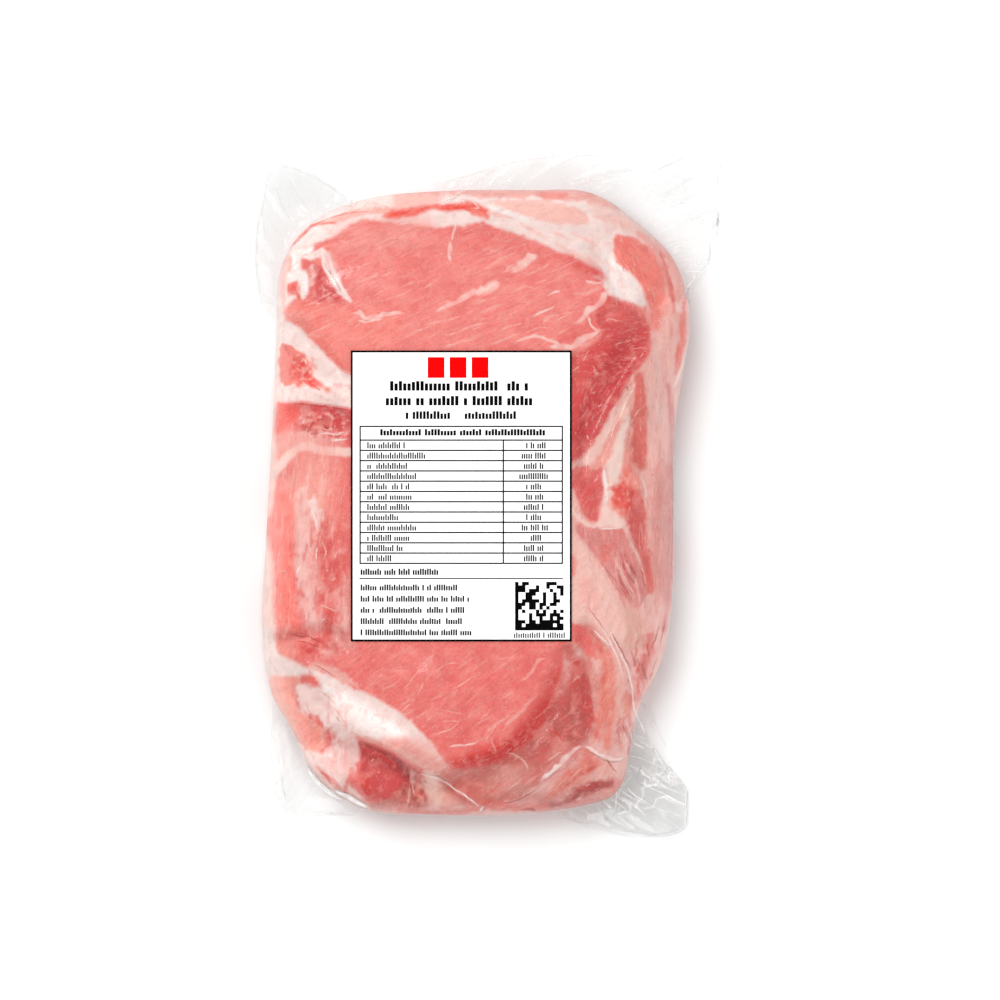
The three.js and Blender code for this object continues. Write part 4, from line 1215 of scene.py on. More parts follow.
# Flecks: short curved slivers scattered over a skin, each lying along the grain there
flecks = Growth("flecks", amount="Float", seed="Int", shortest="Float", longest="Float", slimness="Float")
share = flecks.node("GeometryNodeInputNamedAttribute", {"data_type": "FLOAT"}, {"Name": "share"})
heading = flecks.node("GeometryNodeInputNamedAttribute", {"data_type": "FLOAT_VECTOR"}, {"Name": "heading"})
scatter = flecks.tree.nodes.new("GeometryNodeDistributePointsOnFaces")
flecks.tree.links.new(flecks.given("Geometry").socket, scatter.inputs["Mesh"])
flecks.tree.links.new((flecks.given("amount") * share).socket, scatter.inputs["Density"])
flecks.tree.links.new(flecks.given("seed").socket, scatter.inputs["Seed"])
index = flecks.node("GeometryNodeInputIndex", {}, {})
seed = flecks.given("seed")
upright = flecks.node("FunctionNodeAlignRotationToVector", {"axis": "Z"}, {
    "Vector": Value(flecks.tree, scatter.outputs["Normal"])})
along = flecks.node("FunctionNodeAlignRotationToVector", {"axis": "X", "pivot_axis": "Z"}, {
    "Rotation": upright, "Vector": heading})
swing = flecks.node("FunctionNodeEulerToRotation", {}, {
    "Euler": flecks.vector(z=flecks.random(-0.35, 0.35, index, seed + 1.0))})
turned = flecks.node("FunctionNodeRotateRotation", {"rotation_space": "LOCAL"}, {
    "Rotation": along, "Rotate By": swing})
spine = flecks.node("GeometryNodeCurveQuadraticBezier", {}, {
    "Resolution": 5, "Start": (-0.5, 0, 0), "Middle": (0, 0.2, 0), "End": (0.5, 0, 0)})
along_spine = flecks.node("GeometryNodeSplineParameter", {}, {})
taper = (along_spine * (1.0 - along_spine) * 4.0).step(-0.1, 1.0)
tapered = flecks.node("GeometryNodeSetCurveRadius", {}, {"Curve": spine, "Radius": taper})
section = flecks.node("GeometryNodeCurvePrimitiveCircle", {}, {
    "Resolution": 4, "Radius": flecks.given("slimness")})
fleck = flecks.node("GeometryNodeCurveToMesh", {}, {
    "Curve": tapered, "Profile Curve": section, "Fill Caps": True})
size = flecks.random(flecks.given("shortest"), flecks.given("longest"), index, seed + 2.0)
flecks.close(flecks.node("GeometryNodeInstanceOnPoints", {}, {
    "Points": Value(flecks.tree, scatter.outputs["Points"]), "Instance": fleck, "Rotation": turned,
    "Scale": flecks.vector(size, size, size * 0.4)}))

heading_x = (grain_pull * np.cos(grain_turn)).sum(0)
heading_y = (grain_pull * np.sin(grain_turn)).sum(0)
clumps = smooth(0.5 + 0.9 * unevenness(meat_x, meat_y, 8.0, 21) + 0.5 * unevenness(meat_x, meat_y, 3.5, 22))
lean_share = (1 - smooth(fatness * 2.5)) * shown_side * smooth(outside_label(meat_x, meat_y) / 1.5)
lean_share *= 0.25 + 0.75 * clumps + 0.8 * smooth(1.6 - 3.2 * tint[:, 1] / muscle_green)
tucked_end = (meat_x < -20) & (meat_y < -84)
lean_share *= 1 - 0.9 * tucked_end
store(meat.data, "heading", "FLOAT_VECTOR", np.column_stack([heading_x, heading_y, 0 * heading_x]))
store(meat.data, "share", "FLOAT", lean_share)


def scattered(name, colour, cover, **sizes):
    """Small bits of fat scattered over the meat, wet and half clear."""
    finish = Finish(name)
    patches = finish.noise(finish.place(), 500.0)
    finish.feed("Base Color", finish.mix(patches, (*bare(colour), 1.0), (*(0.9 * bare(colour)), 1.0)))
    finish.feed("Roughness", 0.36)
    material = layer(finish, patches.step(0.3, 0.7) * cover * 0.5 + cover * 0.5)
    piece = grown(name, flecks, meat.data.copy(), finish=material, **sizes)
    piece.visible_shadow = False
    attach(piece, "root")
    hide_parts("sealed_bag")


scattered("fine_threads", (253, 192, 182), 0.72, amount=48000.0, seed=4, shortest=0.9 * MM,
          longest=3.2 * MM, slimness=0.05)
scattered("fat_specks", (253, 186, 176), 0.68, amount=60000.0, seed=5, shortest=0.4 * MM,
          longest=1.1 * MM, slimness=0.16)

# Bag
# Two sheets of clear film, sucked tight on the meat and welded together beyond it. The spare film stands
# out at the corners as crumpled flaps that hang down towards the table. One closed skin with thin flaps.
flap_gap = 0.5
film_hug = 0.5
# Each flap's edge, then its columns of points, its height, the depth and length of its waves, and how
# crumpled and how milky its film is
flaps = {
    "top right": ([
        (69, 68), (75, 75), (77.5, 82), (77.5, 87), (80.5, 91), (81.2, 96), (78.5, 101.5), (80.5, 107.5),
        (81, 114), (77, 119.1), (70, 118.3), (65, 115.5), (60, 112.6), (50, 112.6), (43, 116.5), (32, 118),
        (18, 116.8), (5, 113.5), (-6, 111), (-19, 107.6),
    ], 210, 9.0, 2.2, 17.0, 0.9, 0.014),
    "top left": ([
        (-50, 104), (-54, 107), (-61.5, 111.8), (-67, 114.6), (-76, 115.2), (-78.5, 107.5), (-79.5, 101),
        (-81, 92), (-81, 78), (-80, 70), (-78, 63.5), (-75, 59.5),
    ], 120, 5.0, 1.4, 15.0, 0.3, 0.02),
    "bottom left": ([
        (-75, -75), (-74.8, -87), (-74.8, -101), (-74, -108.5), (-69.5, -113.5), (-64, -111.5),
        (-45, -111.5),
    ], 80, 3.0, 1.2, 14.0, 0.3, 0.036),
    # The bottom right flap's film is milkier partly for its crumpling and partly as painted shade for the
    # slab's shadow on the table under it
    "bottom right": ([
        (26, -113), (42, -116.5), (58, -119.4), (65, -118.7), (69, -116), (69.4, -109), (69, -102),
        (61.5, -93), (53.5, -81),
    ], 130, 3.0, 1.5, 16.0, 1.2, 0.115),
}
side_columns = [40, 90, 60, 100]
film_rings = 34
flap_rings = 26


def even_points(points, count):
    """The curve through the points, as evenly spaced points without its last one, and its length."""
    curve = curve_through(points, steps=24)
    length = travelled(curve)[-1]
    return points_at(curve, np.linspace(0, length, count, endpoint=False)), length


def edge_between(start, end, count):
    """Points on the slab's edge from the direction of one place to that of another, counter-clockwise."""
    first = math.atan2(start[1] - pole[1], start[0] - pole[0])
    last = math.atan2(end[1] - pole[1], end[0] - pole[0])
    angle = first + np.linspace(0, (last - first) % (2 * math.pi), count, endpoint=False)
    return pole + np.column_stack([np.cos(angle), np.sin(angle)]) * slab_reach(angle)[:, None]


# The film's columns beyond the meat, flap by flap with the sealed side that follows: where each starts on
# the slab, where it ends on the rim and how high, how crumpled and milky it is, and how far along the flap
columns = []
flap_list = list(flaps.values())
for number, (edge, count, height, wave, wave_length, crumpled, milky) in enumerate(flap_list):
    rim, length = even_points(edge, count)
    along = np.arange(count) / count
    turn = 2 * math.pi * along * length / wave_length
    loose = smooth(4 * along) * smooth(4 * (1 - along))
    flutter = wave * (0.62 * np.sin(turn) + 0.38 * np.sin(1.73 * turn + 1))
    columns.append((
        edge_between(edge[0], edge[-1], count), rim, seam_height + loose * (height + flutter - seam_height),
        np.full(count, crumpled), np.full(count, milky), along * length))
    next_edge = flap_list[(number + 1) % len(flap_list)][0]
    side = edge_between(edge[-1], next_edge[0], side_columns[number])
    outward = (side - pole) / np.hypot(*(side - pole).T)[:, None]
    none = np.zeros(len(side))
    columns.append((side, side + outward * film_hug, none + seam_height, none, none, none))
root, rim, rim_height, crumpling, haze, rim_run = (np.concatenate(part) for part in zip(*columns))
film_columns = len(root)
spare = np.hypot(*(rim - root).T) - film_hug

# Creases: the film folds sharply where it bridges from one lump to the next and fans out into the flaps
creases = [
    [(49.5, -72.3), (53.2, -79.7), (58.2, -87.2), (61.9, -92.8), (63.2, -98.3)],
    [(32.8, -87.2), (42.1, -91.5), (48.3, -91.5)],
    [(32.8, -87.2), (29.1, -90.9), (24.7, -95.2), (17.3, -100.2)],
    [(45.2, -103.3), (44.6, -112.6)],
    [(52.6, -94.6), (57, -100.2)],
    [(-23.6, -92.8), (-14.3, -99), (-5, -107), (-2.2, -110.1)],
    [(35.9, -48.8), (43.9, -55.6), (48.3, -62.4), (50.8, -69.8), (52.6, -77.3)],
    [(35.5, -46.1), (41.8, -53), (45.6, -57.7)],
    [(36.8, -20.6), (40.8, -27.5), (44.5, -33.9), (48.7, -44)],
    [(47.2, -12.1), (50.9, -20.1), (55.1, -30.7)],
    [(45, -23.8), (48.7, -32.8), (51.4, -38.1)],
    [(35.5, -12.4), (47.2, -12.1)],
    [(65.1, 62.3), (68.5, 69.6), (71.9, 73.5), (77.8, 77.9)],
    [(-73.1, -79.1), (-72, -90.6), (-69.8, -106.1)],
    [(-74.4, -86.2), (-72.4, -95), (-70.6, -108.3)],
    [(-62.7, -95.5), (-57.8, -100.8), (-53.8, -103.9), (-50.7, -106.1)],
    [(-50.7, -106.1), (-47.2, -107.8), (-42.3, -108.7)],
    [(60, 96), (68, 102), (78, 106)],
    [(56, 101), (66, 107), (77, 113)],
    [(62, 90), (70, 95), (79, 98)],
    [(48, 106), (60, 108), (72, 115)],
    [(30, 109), (44, 112), (58, 112)],
    [(-66, 92), (-71, 99), (-75, 110)],
    [(-72, 80), (-77, 88), (-79, 99)],
    [(-60, 97), (-66, 104), (-71, 113)],
]


def crease_distance(x, y):
    nearest = np.full(np.shape(x), 9.0)
    for crease in creases:
        line = curve_through(crease, steps=5)
        distance, share = line_distance(x, y, line)
        nearest = np.minimum(nearest, distance + 1.2 * np.abs(2 * share - 1) ** 4)
    return nearest


def crumple(x, y):
    """Small sharp folds of loose film."""
    bend = unevenness(x, y, 9.0, 31)
    first = 1 - np.abs(unevenness(x + 3 * bend, y - 3 * bend, 7.5, 32))
    second = 1 - np.abs(unevenness(x + y, y - x, 5.2, 33))
    return first ** 3 + 0.5 * second ** 3 - 0.6


def film_ring(share, side):
    """A ring across the flaps: share 0 at the meat and 1 at the rim, side 1 above and -1 below."""
    spot = root + (rim - root) * share
    slack = smooth(spare / 6) * smooth(share * 3) * (1 - share ** 6)
    folds = 0.9 * crumpling * crumple(*spot.T) + 0.7 * np.exp(-(crease_distance(*spot.T) / 1.1) ** 2)
    lift = seam_height + (rim_height - seam_height) * smooth(share) + slack * folds
    thick = (flap_thickness + (flap_gap - flap_thickness) * smooth(share * 4)) / 2
    return ring_of(spot, np.maximum(lift, thick + 0.05) + side * thick)


plate = label_reach(np.arctan2(root[:, 1] - pole[1], root[:, 0] - pole[0]), plate_inset)
reach = np.hypot(*(root - pole).T)
heading = (root - pole) / reach[:, None]
spot = pole + heading * (plate * 0.5)[:, None]
film_layers = [ring_of(spot, crown(*spot.T))]
for step in range(film_rings):
    share = 1 - (1 - step / film_rings) ** 1.5
    spot = pole + heading * (plate + share * (reach - plate))[:, None]
    ridge = 0.25 * np.exp(-(crease_distance(*spot.T) / 1.2) ** 2) * smooth(outside_label(*spot.T) / 2)
    film_layers.append(ring_of(spot, top_height(*spot.T) + ridge))
for step in range(flap_rings):
    film_layers.append(film_ring(step / flap_rings, 1))
film_layers.append((film_ring(1, 1) + film_ring(1, -1)) / 2)
for step in range(flap_rings - 1, 0, -1):
    film_layers.append(film_ring(step / flap_rings, -1))
for step in range(7):
    share = (step / 6) ** 1.4
    spot = pole + heading * (reach - under_round * share)[:, None]
    film_layers.append(ring_of(spot, (seam_height - flap_thickness / 2) * (1 - quarter_round(share))))
film, film_points = closed_mesh("film", film_layers, [*pole, crown(*pole)], [*pole, 0.0])
film_x, film_y = film_points.T[:2]
first_flap = 1 + (1 + film_rings) * film_columns
flap_span = slice(first_flap, first_flap + 2 * flap_rings * film_columns)


def over_flaps(values):
    """Values given for each column of the film, on the points of its flaps only."""
    spread = np.zeros(len(film_points))
    spread[flap_span] = np.tile(values, 2 * flap_rings)
    return spread


from_root = over_flaps(np.hypot(*(root - pole).T))
from_root = np.where(from_root > 0, np.hypot(film_x - pole[0], film_y - pole[1]) - from_root, 0)
store(film.data, "crease", "FLOAT", crease_distance(film_x, film_y))
store(film.data, "haze", "FLOAT", over_flaps(haze) * (0.75 + 0.5 * smooth(from_root / 22)))
store(film.data, "crumpled", "FLOAT", over_flaps(crumpling))
store(film.data, "sweep", "FLOAT_VECTOR", np.column_stack([over_flaps(rim_run), from_root, 0 * film_x]))

clear = Finish("clear_film")
place = clear.place()
crease = clear.attribute("crease")
haze = clear.attribute("haze")
crumpled = clear.attribute("crumpled")
sweep = clear.attribute("sweep", "Vector")
fan_place = clear.node("ShaderNodeMapping", {}, {"Vector": sweep, "Scale": (0.17, 0.035, 1.0)})
fan = clear.noise(fan_place, 1.0, 2.0, 0.5)
small_fold = clear.noise(place, 120.0, 1.0)
patchy = clear.noise(place, 60.0, 2.0)
ripple = clear.noise(place, 85.0, 3.0, 0.55)
wrinkle = clear.noise(place, 260.0, 2.0, 0.5)
fold = crease.step(1.5, 0.0)
sharp = crease.step(0.6, 0.1)
facing = clear.node("ShaderNodeLayerWeight", {}, {"Blend": 0.35}, output="Facing")
# Painted highlights: soft white streaks on the crumpled flaps, where the film turns from clear to opaque
# white
painted_fold_light = (fan - 0.47).math("ABSOLUTE").step(0.05, 0.0) * patchy.step(0.35, 0.55)
painted_fold_light = painted_fold_light + (small_fold - 0.52).math("ABSOLUTE").step(0.045, 0.0) * patchy.step(0.50, 0.62)
painted_fold_light = painted_fold_light * crumpled * 0.16
cover = facing.step(0.35, 1.0) * 0.18 + sharp * 0.08 + 0.04 + wrinkle.step(0.55, 0.8) * 0.04
cover = cover + haze * (0.7 + ripple.step(0.38, 0.62) * 0.6) + painted_fold_light
clear.feed("Base Color", opaque((249, 246, 245)))
clear.feed("Roughness", 0.16)
clear.feed("Metallic", (painted_fold_light * -3.5 + 0.9).math("MAXIMUM", 0.0))
clear.bump(0.5, 0.0012, ripple * 0.8 + wrinkle * 0.25 + fold * 0.9)
layer(clear, cover)
film.data.materials.append(clear.material)
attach(film, "root")
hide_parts("sealed_bag")

# Folds of the film: pale where it bridges the meat and white on the spare film, partly the film's own
# whitening where it folds double and partly painted highlight; grey painted shade along the flaps' rims and
# dark painted shade beside the folds. The colour over 255 keeps two painted highlight bands white on the
# steep lower left rim.
fold_highlights_and_shade = [
    ((254, 232, 226), 0.72, [
        (2.6, (18, -100), (21, -97), (24.5, -94), (28, -90.5), (30.5, -88), (33.5, -87)),
        (2.4, (33, -87), (36, -88.5), (40.5, -91), (44.5, -92), (48.5, -91)),
        (1.2, (36, -46.5), (39, -49.5), (41.5, -52), (43, -53)),
        (1.1, (41, -46.5), (43.5, -50.5), (46, -55.5), (48, -60), (49.5, -65), (51, -70.5)),
        (0.9, (39, -45), (40.5, -48), (42.5, -52), (45, -57.5), (47, -64.5)),
        (0.8, (48.5, -61), (50, -68), (50.5, -73.5)),
        (1.2, (-24.5, -97), (-19.5, -98), (-14.5, -100), (-10.5, -103), (-6, -106), (-2, -109.5)),
        (1, (30.5, -106.5), (32.5, -105)), (1, (-42, 102.5), (-43.5, 99)),
        (0.9, (-47, 102.5), (-49, 98)), (1.6, (-41.5, 102), (-37.5, 101), (-33.5, 100)),
        (1, (-17.5, 101.5), (-13, 102.5), (-10, 104.5), (-7, 105.5)),
        (0.9, (48, -78.5), (49.5, -83.5), (50.5, -87.5)),
    ]),
    ((255, 253, 252), 0.75, [
        (1.1, (50, -68), (50.5, -73.5), (52.5, -78.5), (55, -84), (58, -89), (60.5, -94), (63, -98.5)),
        (0.9, (62.5, -92.5), (64, -97), (64, -101.5)), (1.8, (52.5, -95.5), (55, -98), (57, -99.5)),
        (1.6, (54.5, -98), (55, -101.5), (58, -101)), (1.2, (45, -102.5), (44.5, -107.5), (43.5, -112.5)),
        (2, (47.5, -106.5), (49.5, -109), (49.5, -111)), (1.6, (43.5, -112), (47, -111), (50, -111)),
        (1, (48, -101.5), (51, -105), (56, -107.5)), (0.9, (68.5, -102), (69, -108.5), (68.5, -116.5)),
        (1.2, (-1.5, -108), (-3, -110.5)),
    ]),
    ((282, 281, 280), 0.95, [
        (2.2, (-63, -94), (-61, -98), (-58, -101.5), (-54.5, -104.3), (-50, -107)),
        (2.2, (-54, -103), (-50, -104.6), (-46, -106.8), (-41, -109.2)),
    ]),
    ((255, 253, 252), 0.5, [
        (1.1, (58.5, 104), (66.5, 104)), (1.1, (52.5, 101), (61, 101.5), (69.5, 101)),
        (1.4, (66.5, 98), (73, 95.5), (75.5, 93.5)), (4, (75, 98.5), (78.5, 95.5), (78, 91.5)),
        (2.4, (80, 96), (78.5, 88.5)), (1.2, (76.5, 87.5), (77.5, 84.5), (76.5, 80.5)),
        (1.2, (75.5, 82.5), (72, 80), (69.5, 78)), (1.2, (73, 76.5), (69.5, 72), (67.5, 68.5)),
        (1, (68.5, 110), (68.5, 105)),
    ]),
    ((196, 186, 186), 0.22, [
        (1.1, (-75.5, 114), (-77, 107), (-78.5, 100), (-80, 93.5), (-80.5, 86.5), (-80.5, 77.5),
            (-78.5, 66)),
        (1, (-75, 114.5), (-67, 113), (-58.5, 109), (-49.5, 103)),
        (0.9, (-15.5, 108), (-5.5, 111), (6, 114.5), (18.5, 117), (29, 118)),
        (0.9, (29, 118), (43, 117), (52.5, 112.5), (58.5, 112.5)),
        (1.2, (58.5, 112.5), (66.5, 116), (75.5, 119.5), (79.5, 118.5), (81, 115)),
        (1, (81, 115), (80, 109.5), (80.5, 102), (79.5, 89)),
        (1, (77.5, 88), (76.5, 80.5), (72, 75.5)), (1, (70, 72.5), (68.5, 67)),
        (1.2, (25, -112), (32, -114.5), (40.5, -117), (49.5, -119), (58, -119), (68, -116.5)),
        (1, (70, -99.5), (69.5, -108), (69.5, -116)), (1.6, (53.5, -95), (52, -98.5), (53.5, -102)),
        (1.6, (39, -106.5), (40.5, -111.5), (43, -115.5)),
        (1.6, (48.5, -103.5), (52.5, -106.5), (58, -108.5)),
        (1, (-72, -95.5), (-71.5, -102), (-70, -107.5)),
        (1, (-75, -78.5), (-75.5, -92.5), (-75, -109.5)),
        (1.2, (-64, -112), (-52.5, -111.5), (-45, -112)), (1.6, (52.5, -68), (55, -75.5), (58.5, -83.5)),
        (1.4, (55.5, -71.5), (59, -82), (62.5, -89.5)),
    ]),
    ((158, 78, 74), 0.22, [
        (1.2, (19, -100.5), (22.5, -97.5), (26.5, -95), (29.5, -92.5), (31.5, -89.5)),
        (1, (34.5, -89), (38, -91), (42.5, -93), (47, -92.5)),
        (0.9, (35, -47.5), (38, -50.5), (41.5, -53.5)),
        (1, (42.5, -47.5), (45, -52), (47.5, -56.5), (49.5, -61), (51, -66)),
        (0.9, (-16.5, -100), (-12.5, -103), (-8.5, -106), (-4, -109)),
        (0.9, (40, -26), (43, -30), (46, -35), (48, -41)),
        (0.9, (64, 36), (64.5, 22), (64.5, 5), (64, -16), (63.5, -33.5)),
        (0.9, (59, -56), (57.5, -60.5), (56, -66)),
    ]),
]
slivers("fold_highlights_and_shade", fold_highlights_and_shade, skin_of(film), 7, "sealed_bag", "clear_film")

# Label
# A sheet of white coated paper stuck on the film, bent with the crown, with a thin black line round it.
paper_thickness = 0.2
paper_lift = 0.05
paper_left = label_low[0]
paper_top = label_high[1]
paper_width, paper_length = (label_high - label_low)[:2]
paper = Finish("label_paper")
place = paper.place()
pulp = paper.noise(place, 700.0, 3.0, 0.6)
paper.feed("Base Color", paper.mix(pulp.step(0.35, 0.75), opaque((252, 252, 252)), opaque((248, 248, 248))))
paper.feed("Roughness", 0.45 + pulp * 0.15)
paper.bump(0.2, 0.0001, pulp)

# The sheet is a thin closed plate, cut into cells so that it bends with the crown
sheet_cell = 2.4
cells_across = round(paper_width / sheet_cell)
cells_along = round(paper_length / sheet_cell)
sheet_points = np.array([
    (label_low[0] + paper_width * i / cells_across, label_low[1] + paper_length * j / cells_along, level)
    for level in (0.0, paper_thickness) for j in range(cells_along + 1) for i in range(cells_across + 1)])
sheet_points[:, 2] += crown(sheet_points[:, 0], sheet_points[:, 1]) + paper_lift
sheet_faces = []


def quad(*corners):
    """A face of the sheet from its corners' column, row and side, where side 1 is the upper one."""
    sheet_faces.append([
        (side * (cells_along + 1) + j) * (cells_across + 1) + i for i, j, side in corners])


for j in range(cells_along):
    for i in range(cells_across):
        quad((i, j, 1), (i + 1, j, 1), (i + 1, j + 1, 1), (i, j + 1, 1))
        quad((i, j, 0), (i, j + 1, 0), (i + 1, j + 1, 0), (i + 1, j, 0))
for i in range(cells_across):
    quad((i, 0, 0), (i + 1, 0, 0), (i + 1, 0, 1), (i, 0, 1))
    quad((i + 1, cells_along, 0), (i, cells_along, 0), (i, cells_along, 1), (i + 1, cells_along, 1))
for j in range(cells_along):
    quad((0, j + 1, 0), (0, j, 0), (0, j, 1), (0, j + 1, 1))
    quad((cells_across, j, 0), (cells_across, j + 1, 0), (cells_across, j + 1, 1), (cells_across, j, 1))
label_sheet = placed("label_sheet", mesh_of("label_sheet", sheet_points, sheet_faces))
label_sheet.data.validate()
label_sheet.data.materials.append(paper.material)
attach(label_sheet, "root")
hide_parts("label")

# Print
# Ink on the paper: three plain red squares for a heading, rows of plain marks where wording would be, a
# ruled table and a block of random squares. Places are from the label's top left corner, in mm.
ink_height = paper_thickness - 0.02
ink_depth = 0.10


def ink(name, colour):
    finish = Finish(name)
    grain = finish.noise(finish.place(), 1500.0)
    finish.feed("Base Color", finish.mix(grain * 0.25, opaque(colour), opaque([c + 14 for c in colour])))
    finish.feed("Roughness", grain * 0.1 + 0.5)
    finish.feed("Specular IOR Level", 0.03)
    return finish.material


black = ink("black_ink", (4, 4, 4))
red = ink("red_ink", (212, 2, 4))
print_block = Growth(
    "print_block", rows="Int", row_gap="Float", marks="Int", pitch="Float", stroke="Float", low="Float",
    high="Float", left="Float", top="Float", level="Float", depth="Float", shortest="Float",
    longest="Float", centre="Float", gaps="Float", cuts="Int", cuts_down="Int", seed="Int")
given = print_block.given
seed = given("seed")
index = print_block.node("GeometryNodeInputIndex", {}, {})
marks = given("marks")
row = ((index + 0.5).math("DIVIDE", marks)).math("FLOOR")
column = index - row * marks
spots = print_block.node("GeometryNodeMeshLine", {}, {"Count": given("rows") * marks})
spots = print_block.node("GeometryNodeSetPosition", {}, {"Geometry": spots, "Position": print_block.vector(
    given("left") + given("stroke") * 0.5 + column * given("pitch"),
    given("top") - row * given("row_gap") - given("high"),
    given("level"))})
centre = given("centre")
length = print_block.random(given("shortest"), given("longest"), row, seed + 1.0)
from_centre = ((column + 0.5).math("DIVIDE", marks) - centre).math("ABSOLUTE")
kept = from_centre.math("LESS_THAN", length * (1.0 - centre))
inked = print_block.random(0.0, 1.0, index, seed + 2.0).math("GREATER_THAN", given("gaps"))
tall = print_block.random(0.0, 1.0, index, seed + 3.0).step(0.45, 0.6)
mark = print_block.node("GeometryNodeMeshCube", {}, {
    "Size": (1.0, 1.0, 1.0), "Vertices X": given("cuts"), "Vertices Y": given("cuts_down")})
mark = print_block.node("GeometryNodeTransform", {}, {"Geometry": mark, "Translation": (0.0, 0.5, 0.5)})
print_block.close(print_block.node("GeometryNodeInstanceOnPoints", {}, {
    "Points": spots, "Selection": kept * inked, "Instance": mark, "Scale": print_block.vector(
        given("stroke"), given("low") + (given("high") - given("low")) * tall, given("depth"))}))


def printed(name, finish, left, top, rows=1, row_gap=0.0, marks=1, pitch=1.0, stroke=1.0, low=1.0, high=1.0,
            shortest=1.0, longest=1.0, centre=0.0, gaps=0.0, cuts=2, cuts_down=2, seed=0):
    """A block of printed marks, bent over the crown."""
    piece = grown(
        name, print_block, bpy.data.meshes.new(name), rows=rows, row_gap=row_gap * MM, marks=marks,
        pitch=pitch * MM, stroke=stroke * MM, low=low * MM, high=high * MM, left=(paper_left + left) * MM,
        top=(paper_top - top) * MM, level=(ink_height - ink_depth / 2) * MM, depth=ink_depth * MM,
        shortest=shortest, longest=longest, centre=centre, gaps=gaps, cuts=cuts, cuts_down=cuts_down,
        seed=seed, finish=finish)
    places = np.array([vertex.co for vertex in piece.data.vertices]) / MM
    places[:, 2] += crown(places[:, 0], places[:, 1]) + paper_lift
    piece.data.vertices.foreach_set("co", (places * MM).ravel())
    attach(piece, "root")
    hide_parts("label")


edge_line = 0.7
printed("border_across", black, 0, 0, rows=2, row_gap=paper_length - edge_line, pitch=paper_width,
        stroke=paper_width, low=edge_line, high=edge_line, cuts=26)
printed("border_down", black, 0, edge_line, marks=2, pitch=paper_width - edge_line, stroke=edge_line,
        low=paper_length - 2 * edge_line, high=paper_length - 2 * edge_line, cuts_down=34)
printed("heading", red, 26.6, 2.3, marks=3, pitch=7.6, stroke=5.8, low=7.2, high=7.2, cuts=4, cuts_down=4)
printed("title_rows", black, 10.6, 10.6, rows=2, row_gap=5.1, marks=36, pitch=1.5, stroke=1.15, low=2.5,
        high=3.3, shortest=0.88, longest=1.0, centre=0.5, gaps=0.14, seed=1)
printed("weight_row", black, 19.0, 21.0, marks=32, pitch=1.2, stroke=0.9, low=1.9, high=2.7, gaps=0.16,
        seed=2)
printed("table_heading", black, 10.2, 27.2, marks=52, pitch=1.1, stroke=0.85, low=1.6, high=2.2,
        gaps=0.12, seed=3)
row_gap = 3.55
table_left = 3.0
table_right = 73.4
table_top = 26.0
first_row = table_top + 5.0
table_width = table_right - table_left
printed("table_names", black, 5.7, first_row + 0.7, rows=12, row_gap=row_gap, marks=26, pitch=0.78,
        stroke=0.5, low=1.5, high=2.2, shortest=0.32, longest=1.0, gaps=0.1, seed=4)
printed("table_figures", black, 57.5, first_row + 0.7, rows=12, row_gap=row_gap, marks=15, pitch=0.78,
        stroke=0.5, low=1.7, high=2.2, shortest=0.4, longest=0.95, centre=0.5, gaps=0.12, seed=5)
rule = 0.5
printed("table_rules", black, table_left, first_row - rule / 2, rows=13, row_gap=row_gap,
        pitch=table_width, stroke=table_width, low=rule, high=rule, cuts=24)
printed("table_top_rule", black, table_left, table_top, pitch=table_width, stroke=table_width, low=rule,
        high=rule, cuts=24)
table_length = first_row - table_top + 12 * row_gap
printed("table_sides", black, table_left, table_top, marks=2, pitch=table_width - rule, stroke=rule,
        low=table_length, high=table_length, cuts_down=16)
printed("table_divider", black, 52.5, first_row, pitch=rule, stroke=rule, low=table_length - 5.0,
        high=table_length - 5.0, cuts_down=16)
printed("short_row", black, 3.4, 75.4, marks=34, pitch=0.82, stroke=0.6, low=1.6, high=2.2, gaps=0.13,
        seed=6)
printed("lower_rule", black, table_left, 78.6, pitch=table_width, stroke=table_width, low=0.4, high=0.4,
        cuts=24)
printed("lower_rows", black, 3.4, 80.9, rows=5, row_gap=3.88, marks=52, pitch=0.82, stroke=0.58, low=1.5,
        high=2.1, shortest=0.5, longest=1.0, gaps=0.14, seed=9)
code_cell = 1.2
code_size = 14 * code_cell
printed("code_squares", black, 56.8, 80.0, rows=14, row_gap=code_cell, marks=14, pitch=code_cell,
        stroke=code_cell, low=code_cell, high=code_cell, gaps=0.48, seed=11)
printed("code_left", black, 56.8, 80.0, pitch=code_cell, stroke=code_cell, low=code_size, high=code_size,
        cuts_down=6)
printed("code_foot", black, 56.8, 80.0 + code_size - code_cell, pitch=code_size, stroke=code_size,
        low=code_cell, high=code_cell, cuts=6)
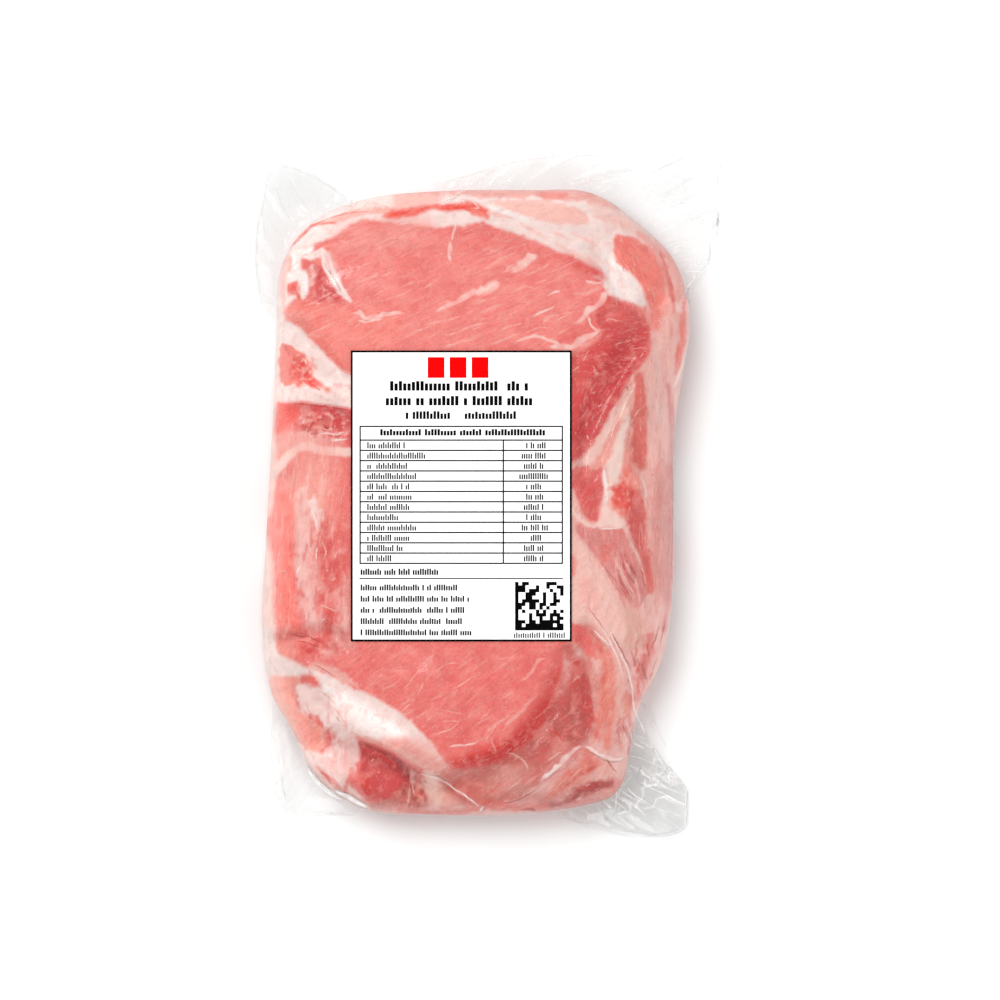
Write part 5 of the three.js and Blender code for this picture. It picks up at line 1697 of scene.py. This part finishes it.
printed("code_row", black, 56.4, 97.5, marks=23, pitch=0.78, stroke=0.45, low=1.5, high=1.9, gaps=0.06,
        seed=12)

# Floor, light and camera
# A plain pale table, soft light from the upper left, and a camera that looks straight down.
floor_half = 3000.0
floor_corners = [(-floor_half, -floor_half, 0), (floor_half, -floor_half, 0), (floor_half, floor_half, 0),
    (-floor_half, floor_half, 0)]
floor = placed("floor", mesh_of("floor", floor_corners, [(0, 1, 2, 3)]))
table = Finish("pale_table")
place = table.place()
dust = table.noise(place, 40.0, 2.0)
table.feed("Base Color", table.mix(dust, (0.79, 0.815, 0.81, 1.0), (0.81, 0.835, 0.83, 1.0)))
table.feed("Roughness", 0.9)
table.feed("Specular IOR Level", 0.1)
floor.data.materials.append(table.material)

world = bpy.data.worlds.new("studio")
world.use_nodes = True
background = world.node_tree.nodes["Background"]
background.inputs["Color"].default_value = (1.0, 1.0, 1.0, 1.0)
background.inputs["Strength"].default_value = 0.45
bpy.context.scene.world = world


def softbox(name, place, size, power, shines):
    """A round soft lamp aimed at the middle of the slab's underside."""
    lamp = bpy.data.lights.new(name, "AREA")
    lamp.shape = "DISK"
    lamp.size = size
    lamp.energy = power
    piece = placed(name, lamp)
    aim_x, aim_y, aim_z = -np.array(place)
    piece.location = place
    tilt = math.atan2(math.hypot(aim_x, aim_y), -aim_z)
    piece.rotation_euler = (tilt, 0, math.atan2(aim_x, -aim_y) + math.pi)
    piece.visible_camera = False
    piece.visible_glossy = shines


softbox("key_light", (-0.55, 0.6, 1.25), 1.3, 22.8, False)
softbox("fill_light", (0.9, -0.85, 0.7), 1.2, 12.1, False)
softbox("glint_light", (-0.5, 0.5, 1.4), 0.3, 1.3, True)

bpy.context.scene.view_settings.view_transform = "Standard"
photo_width = 0.347
photo_middle = (0.0042, -0.0022)
camera_height = 4.0
slab_middle = 0.02
camera_data = bpy.data.cameras.new("camera")
camera_data.sensor_width = 36.0
camera_data.lens = camera_data.sensor_width * (camera_height - slab_middle) / photo_width
camera = placed("camera", camera_data)
camera.location = (*photo_middle, camera_height)
bpy.context.scene.camera = camera
